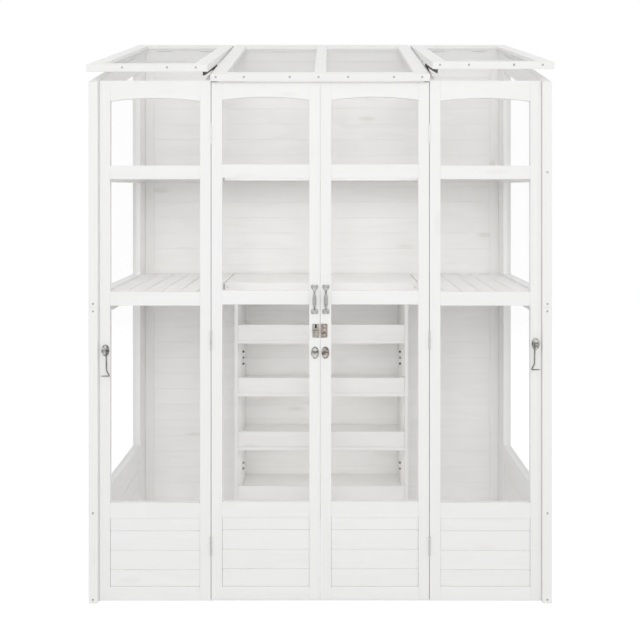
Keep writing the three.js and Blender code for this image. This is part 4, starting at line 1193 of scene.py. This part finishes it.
def hard_coat(name, colour, worn):
    """Hard coat of paint or plastic on small parts, a little rubbed in soft patches."""
    made, tree, shader = new_material(name)
    cloud = noise(tree, node(tree, "TexCoord").outputs["Object"], 60, 4, 0.6)
    rubbed = mapped(tree, cloud, 0.5, 0.8)
    tree.links.new(tinted(tree, rubbed, colour, worn), shader.inputs["Base Color"])
    tree.links.new(mapped(tree, rubbed, 0, 1, 0.35, 0.5), shader.inputs["Roughness"])
    embossed(tree, shader, cloud, 0.1, 0.0002)
    return made


def clear_pane(name, tint, glance_share):
    """Clear acrylic sheet, a little hazier where dust lies, and less clear at a low angle, where its colour
    stands in for light: painted sheen on the walls, painted grey shade on the roof.
    """
    made, tree, shader = new_material(name)
    dust = noise(tree, node(tree, "TexCoord").outputs["Object"], 3, 6, 0.6)
    haze = mapped(tree, dust, 0.35, 0.75, PANE_HAZE, 2 * PANE_HAZE)
    edge_on = node(tree, "LayerWeight", {"Blend": 0.25}).outputs["Facing"]
    glance = calculated(tree, "MULTIPLY", calculated(tree, "POWER", edge_on, 3.0), glance_share)
    tree.links.new(calculated(tree, "ADD", haze, glance), shader.inputs["Alpha"])
    tree.links.new(mapped(tree, dust, 0.3, 0.8, 0.04, 0.12), shader.inputs["Roughness"])
    shader.inputs["Base Color"].default_value = tint
    shader.inputs["IOR"].default_value = ACRYLIC_IOR
    return made


pine_grain_group()
wear_group()
PAINT = painted_wood("white satin paint", (0.93, 0.93, 0.925, 1), (0.84, 0.835, 0.82, 1),
                     (0.74, 0.72, 0.68, 1), 0.72, 0.42)
ROOF_PAINT = painted_wood("white roof paint", (0.94, 0.938, 0.93, 1), (0.83, 0.82, 0.80, 1),
                          (0.73, 0.71, 0.67, 1), 0.85, 0.45)
STAIN = painted_wood("thin white stain", (0.945, 0.938, 0.928, 1), (0.85, 0.835, 0.82, 1),
                     (0.66, 0.625, 0.58, 1), 0.45, 0.52)
NICKEL = metal("antique nickel", (0.77, 0.76, 0.735, 1), (0.19, 0.185, 0.17, 1), 0.34, 0.3)
SILVER = metal("brushed nickel", (0.76, 0.76, 0.74, 1), (0.27, 0.265, 0.255, 1), 0.38, 0.12)
BROWN_NICKEL = metal("browned nickel", (0.64, 0.585, 0.54, 1), (0.23, 0.19, 0.165, 1), 0.36, 0.35)
BRIGHT_SCREW = metal("bright screw steel", (0.80, 0.79, 0.77, 1), (0.30, 0.29, 0.28, 1), 0.25, 0.1)
LOWER_HINGE_SHADE_ZINC = metal("pale zinc with painted hinge shade", (0.72, 0.715, 0.70, 1), (0.52, 0.51, 0.49, 1), 0.4, 0.2)
ZINC = metal("brown tinted zinc", (0.45, 0.385, 0.345, 1), (0.24, 0.195, 0.165, 1), 0.34, 0.3)
DARK_STEEL = metal("dark stay steel", (0.20, 0.20, 0.20, 1), (0.06, 0.06, 0.06, 1), 0.36, 0.2)
SCREW_ZINC = metal("screw zinc", (0.36, 0.35, 0.33, 1), (0.14, 0.13, 0.12, 1), 0.34, 0.2)
WHITE_IRON = hard_coat("white coated iron", (0.90, 0.90, 0.895, 1), (0.74, 0.735, 0.72, 1))
PEG_BLACK = hard_coat("black peg plastic", (0.035, 0.033, 0.03, 1), (0.07, 0.068, 0.063, 1))
LATCH_GREY = metal("beige grey latch metal", (0.54, 0.51, 0.46, 1), (0.36, 0.33, 0.285, 1), 0.4, 0.25)
KEY_SLOT_SHADOW_BLACK = metal("painted key slot shadow", (0.03, 0.03, 0.03, 1), (0.015, 0.015, 0.015, 1), 0.5, 0.2)
WALL_PANE = clear_pane("clear acrylic", (0.95, 0.96, 0.955, 1), 0.08)
# The roof sheets are clear acrylic like the walls; their grey colour, strongest at a low angle, is painted
# shade
ROOF_PANE = clear_pane("roof acrylic with painted grey shade", (0.34, 0.345, 0.34, 1), 0.95)


# The greenhouse

for side in SIDES:
    for kind, body in (("front", "root"), ("door", f"{side}_door")):
        joinery, boards = leaf_boards(side, kind)
        piece(f"{side}_{kind}_joinery", joinery, PAINT, body, [f"{side}_{kind}_frame"])
        piece(f"{side}_{kind}_boards", boards, PAINT, body)
    joinery, boards = side_lower_boards(side)
    piece(f"{side}_side_lower_joinery", joinery, PAINT, "root",
          [f"{side}_side_lower_frame"])
    piece(f"{side}_side_boards", boards, STAIN, "root")
    piece(f"{side}_side_upper_joinery", side_upper_boards(side), PAINT, "root",
          [f"{side}_side_upper_frame"])
    piece(f"{side}_rafter_board", rafter_board(side), PAINT, "root", [f"{side}_rafter"])
    piece(f"{side}_lid_joinery", roof_panel_boards(f"{side}_lid", 0), ROOF_PAINT, f"{side}_lid",
          [f"{side}_lid_frame"])
    for level in ("mid", "top"):
        piece(f"{side}_{level}_shelf_boards", side_shelf_boards(side, level), STAIN, "root",
              [f"{side}_{level}_shelf"])
    piece(f"rack_{side}_side", [eased_copy(f"rack_{side}_upright", EASE / 2, "Z")], STAIN, "root",
          [f"rack_{side}_upright"])
    piece(f"rack_{side}_pegs", rack_pegs(side, PEG_LEVELS), PEG_BLACK, "root")
    piece(f"rack_{side}_pins", rack_pegs(side, PIN_LEVELS), SCREW_ZINC, "root")
    piece(f"{side}_pull_casting", pull_shapes(side), SILVER, f"{side}_door", [f"{side}_pull"])
    piece(f"{side}_eye_casting",
          staple_plate_shapes(f"{side}_eye_plate", EYE_HEIGHT, EYE_BAR_SPAN, EYE_WIRE, EYE_STAPLE_PATINA),
          NICKEL if side == "left" else BROWN_NICKEL, f"{side}_door", [f"{side}_eye_plate"])
    piece(f"{side}_eye_screws", rosette_screws(f"{side}_eye_plate"), BRIGHT_SCREW, f"{side}_door")
    piece(f"{side}_hook_rosette",
          staple_plate_shapes(f"{side}_hook_plate", HOOK_PLATE_HEIGHT, HOOK_BAR_SPAN, HOOK_WIRE,
                              HOOK_STAPLE_PATINA),
          NICKEL, "root", [f"{side}_hook_plate"])
    piece(f"{side}_hook_screws", rosette_screws(f"{side}_hook_plate"), BRIGHT_SCREW, "root")
    piece(f"{side}_cabin_hook", hook_shapes(side), NICKEL, f"{side}_hook", [f"{side}_hook"])
    # The three hinges of a door are alike; the lower two get greyer metal than the white top one: painted
    # shade, as they stand lower in dimmer light
    for number, coat in ((1, LOWER_HINGE_SHADE_ZINC), (2, LOWER_HINGE_SHADE_ZINC), (3, WHITE_IRON)):
        piece(f"{side}_hinge_post_half_{number}", [eased_copy(f"{side}_hinge_{number}", 0.0001)], coat,
              "root", [f"{side}_hinge_{number}"])
        piece(f"{side}_hinge_door_half_{number}", door_hinge_shapes(side, number), coat,
              f"{side}_door")
    for arm in ("lower", "upper"):
        piece(f"{side}_stay_{arm}_link", [eased_copy(f"{side}_stay_{arm}_arm", 0.0003)], DARK_STEEL,
              f"{side}_stay_{arm}", [f"{side}_stay_{arm}_arm"])

    fixed, moving = lid_hinges(side)
    piece(f"{side}_lid_hinge_wall_leaves", fixed, SCREW_ZINC, "root")
    piece(f"{side}_lid_hinge_lid_leaves", moving, SCREW_ZINC, f"{side}_lid")
    piece(f"{side}_stay_foot_plate", stay_foot_shapes(side), DARK_STEEL, "root")
    piece(f"{side}_stay_bracket", stay_bracket_shapes(side), DARK_STEEL, f"{side}_lid")
    piece(f"{side}_post_screws", post_screws(side), SCREW_ZINC, "root")
    piece(f"{side}_lid_screws", roof_screws(f"{side}_lid"), SCREW_ZINC, f"{side}_lid")

joinery, boards = back_wall_boards()
piece("back_joinery", joinery, STAIN, "root", ["back_frame"])
piece("back_wall_boards", boards, STAIN, "root", ["back_boards"])
piece("roof_middle_joinery", roof_panel_boards("roof_middle", 1), ROOF_PAINT, "root",
      ["roof_middle_frame"])
piece("roof_middle_screws", roof_screws("roof_middle"), SCREW_ZINC, "root")
for shelf in FOLD_HINGES:
    piece(f"{shelf}_boards", fold_shelf_boards(shelf), STAIN, shelf, [shelf])
    fixed, moving, pads = fold_shelf_hinges(shelf)
    piece(f"{shelf}_hinge_wall_leaves", fixed, WHITE_IRON, "root")
    piece(f"{shelf}_hinge_shelf_leaves", moving, WHITE_IRON, shelf)
    piece(f"{shelf}_lip_screws", lip_screws(shelf), SCREW_ZINC, shelf)
    piece(f"{shelf}_hinge_pads", pads, STAIN, "root")
for number in (1, 2, 3, 4):
    piece(f"rack_tray_{number}", rack_shelf_boards(f"rack_shelf_{number}"), STAIN, "root",
          [f"rack_shelf_{number}"])
piece("latch_plate_casting", [latch_casting("latch_plate", -1)], LATCH_GREY, "left_door",
      ["latch_plate"])
piece("latch_keeper_casting", [latch_casting("latch_keeper", 1)], ZINC, "right_door",
      ["latch_keeper"])
piece("latch_bolt_casting", [eased_copy("latch_bolt", LATCH_EASE)], LATCH_GREY, "latch_bolt",
      ["latch_bolt"])
plate_screws, keeper_screws = latch_screws()
piece("latch_plate_screws", plate_screws, SCREW_ZINC, "left_door")
piece("latch_keeper_screws", keeper_screws, BRIGHT_SCREW, "right_door")
# Painted shadow standing in the key slot
piece("latch_key_slot_shadow", key_slot_shadow(), KEY_SLOT_SHADOW_BLACK, "left_door")
for name, cad_node in frame["nodes"].items():
    if name.endswith("_pane"):
        cad_node.data.materials.clear()
        on_roof = name.startswith("roof") or "_lid_" in name
        cad_node.data.materials.append(ROOF_PANE if on_roof else WALL_PANE)


# Stage

def photo_camera():
    """Level camera at the photo's place, with its picture shifted down as the photo's is."""
    data = bpy.data.cameras.new("photo camera")
    data.sensor_width = SENSOR
    data.lens = FOCAL_LENGTH
    data.shift_x = (PHOTO_SIZE / 2 - PHOTO_CENTRE[0]) / PHOTO_SIZE
    data.shift_y = (PHOTO_CENTRE[1] - PHOTO_SIZE / 2) / PHOTO_SIZE
    made = bpy.data.objects.new("photo camera", data)
    made.location = CAMERA_PLACE
    made.rotation_euler.x = math.radians(90)
    bpy.context.scene.collection.objects.link(made)
    bpy.context.scene.camera = made


def soft_lamp(name, place, wide, high, power):
    """Soft lamp that faces down and shows in no reflection."""
    data = bpy.data.lights.new(name, "AREA")
    data.shape = "RECTANGLE"
    data.size, data.size_y, data.energy = wide, high, power
    made = bpy.data.objects.new(name, data)
    made.location = place
    made.visible_glossy = False
    bpy.context.scene.collection.objects.link(made)
    return made


def front_key():
    """The main lamp, in front and above."""
    made = soft_lamp("front key", KEY_PLACE, KEY_SIZE, KEY_SIZE, KEY_POWER)
    made.rotation_euler = (Vector(KEY_TARGET) - Vector(KEY_PLACE)).to_track_quat("-Z", "Y").to_euler()


def fill_card(name, y, z, turn, wide, high, power):
    """Weak soft card inside the greenhouse, turned about X from facing down."""
    made = soft_lamp(name, (0, y, z), wide, high, power)
    made.rotation_euler.x = math.radians(turn)
    made.visible_camera = False


def seen_by_lens(tree):
    """1 for what the camera sees, directly, in a mirror or through a clear sheet."""
    path = node(tree, "LightPath").outputs
    seen = calculated(tree, "MAXIMUM", path["Is Camera Ray"], path["Is Glossy Ray"])
    return calculated(tree, "MAXIMUM", seen, path["Is Transmission Ray"])


def room():
    """Even white room, a little dimmer overhead, that lens and mirrors see as plain white."""
    world = bpy.data.worlds.new("studio")
    world.use_nodes = True
    bpy.context.scene.world = world
    tree = world.node_tree
    towards = node(tree, "SeparateXYZ", {"Vector": node(tree, "TexCoord").outputs["Generated"]})
    light = mapped(tree, towards.outputs["Z"], 0, 1, ROOM_LIGHT, ROOM_LIGHT * CEILING_SHARE)
    strength = mapped(tree, seen_by_lens(tree), 0, 1, light, 1.0)
    tree.links.new(strength, tree.nodes["Background"].inputs["Strength"])
    tree.nodes["Background"].inputs["Color"].default_value = (1, 1, 1, 1)


def floor():
    """Pale floor that keeps the shadow, and that the lens sees turn into a white backdrop."""
    shape = bmesh.new()
    bmesh.ops.create_grid(shape, x_segments=1, y_segments=1, size=FLOOR_REACH)
    mesh = bpy.data.meshes.new("floor")
    shape.to_mesh(mesh)
    shape.free()
    made = bpy.data.objects.new("floor", mesh)
    bpy.context.scene.collection.objects.link(made)
    material = bpy.data.materials.new("pale floor")
    material.use_nodes = True
    tree = material.node_tree
    tree.nodes.clear()
    to_camera = node(tree, "LightPath").outputs["Is Camera Ray"]
    paint = node(tree, "BsdfDiffuse", {"Color": (FLOOR_WHITE, FLOOR_WHITE, FLOOR_WHITE, 1)})
    lift = node(tree, "Emission", {"Color": (1, 1, 1, 1),
                                   "Strength": mapped(tree, to_camera, 0, 1, 0, FLOOR_LIFT)})
    lit = node(tree, "AddShader", {0: paint.outputs[0], 1: lift.outputs[0]})
    away = node(tree, "VectorMath", {0: node(tree, "TexCoord").outputs["Object"]}, operation="LENGTH")
    far = mapped(tree, away.outputs["Value"], BACKDROP_START, BACKDROP_END)
    backdrop = node(tree, "Emission", {"Color": (1, 1, 1, 1), "Strength": 1.0})
    blend = node(tree, "MixShader", {0: calculated(tree, "MULTIPLY", far, seen_by_lens(tree)),
                                     1: lit.outputs[0], 2: backdrop.outputs[0]})
    node(tree, "OutputMaterial", {"Surface": blend.outputs[0]})
    mesh.materials.append(material)


photo_camera()
room()
floor()
front_key()
for name, (y, z, turn, high, power) in FILLS.items():
    fill_card(name, y, z, turn, FILL_WIDTH, high, power)
for number, (level, power) in enumerate(RACK_FILLS, 1):
    fill_card(f"rack fill {number}", RACK_FILL_Y, level, 90, RACK_FILL_WIDTH, RACK_FILL_HEIGHT, power)
bpy.context.scene.view_settings.view_transform = "Standard"
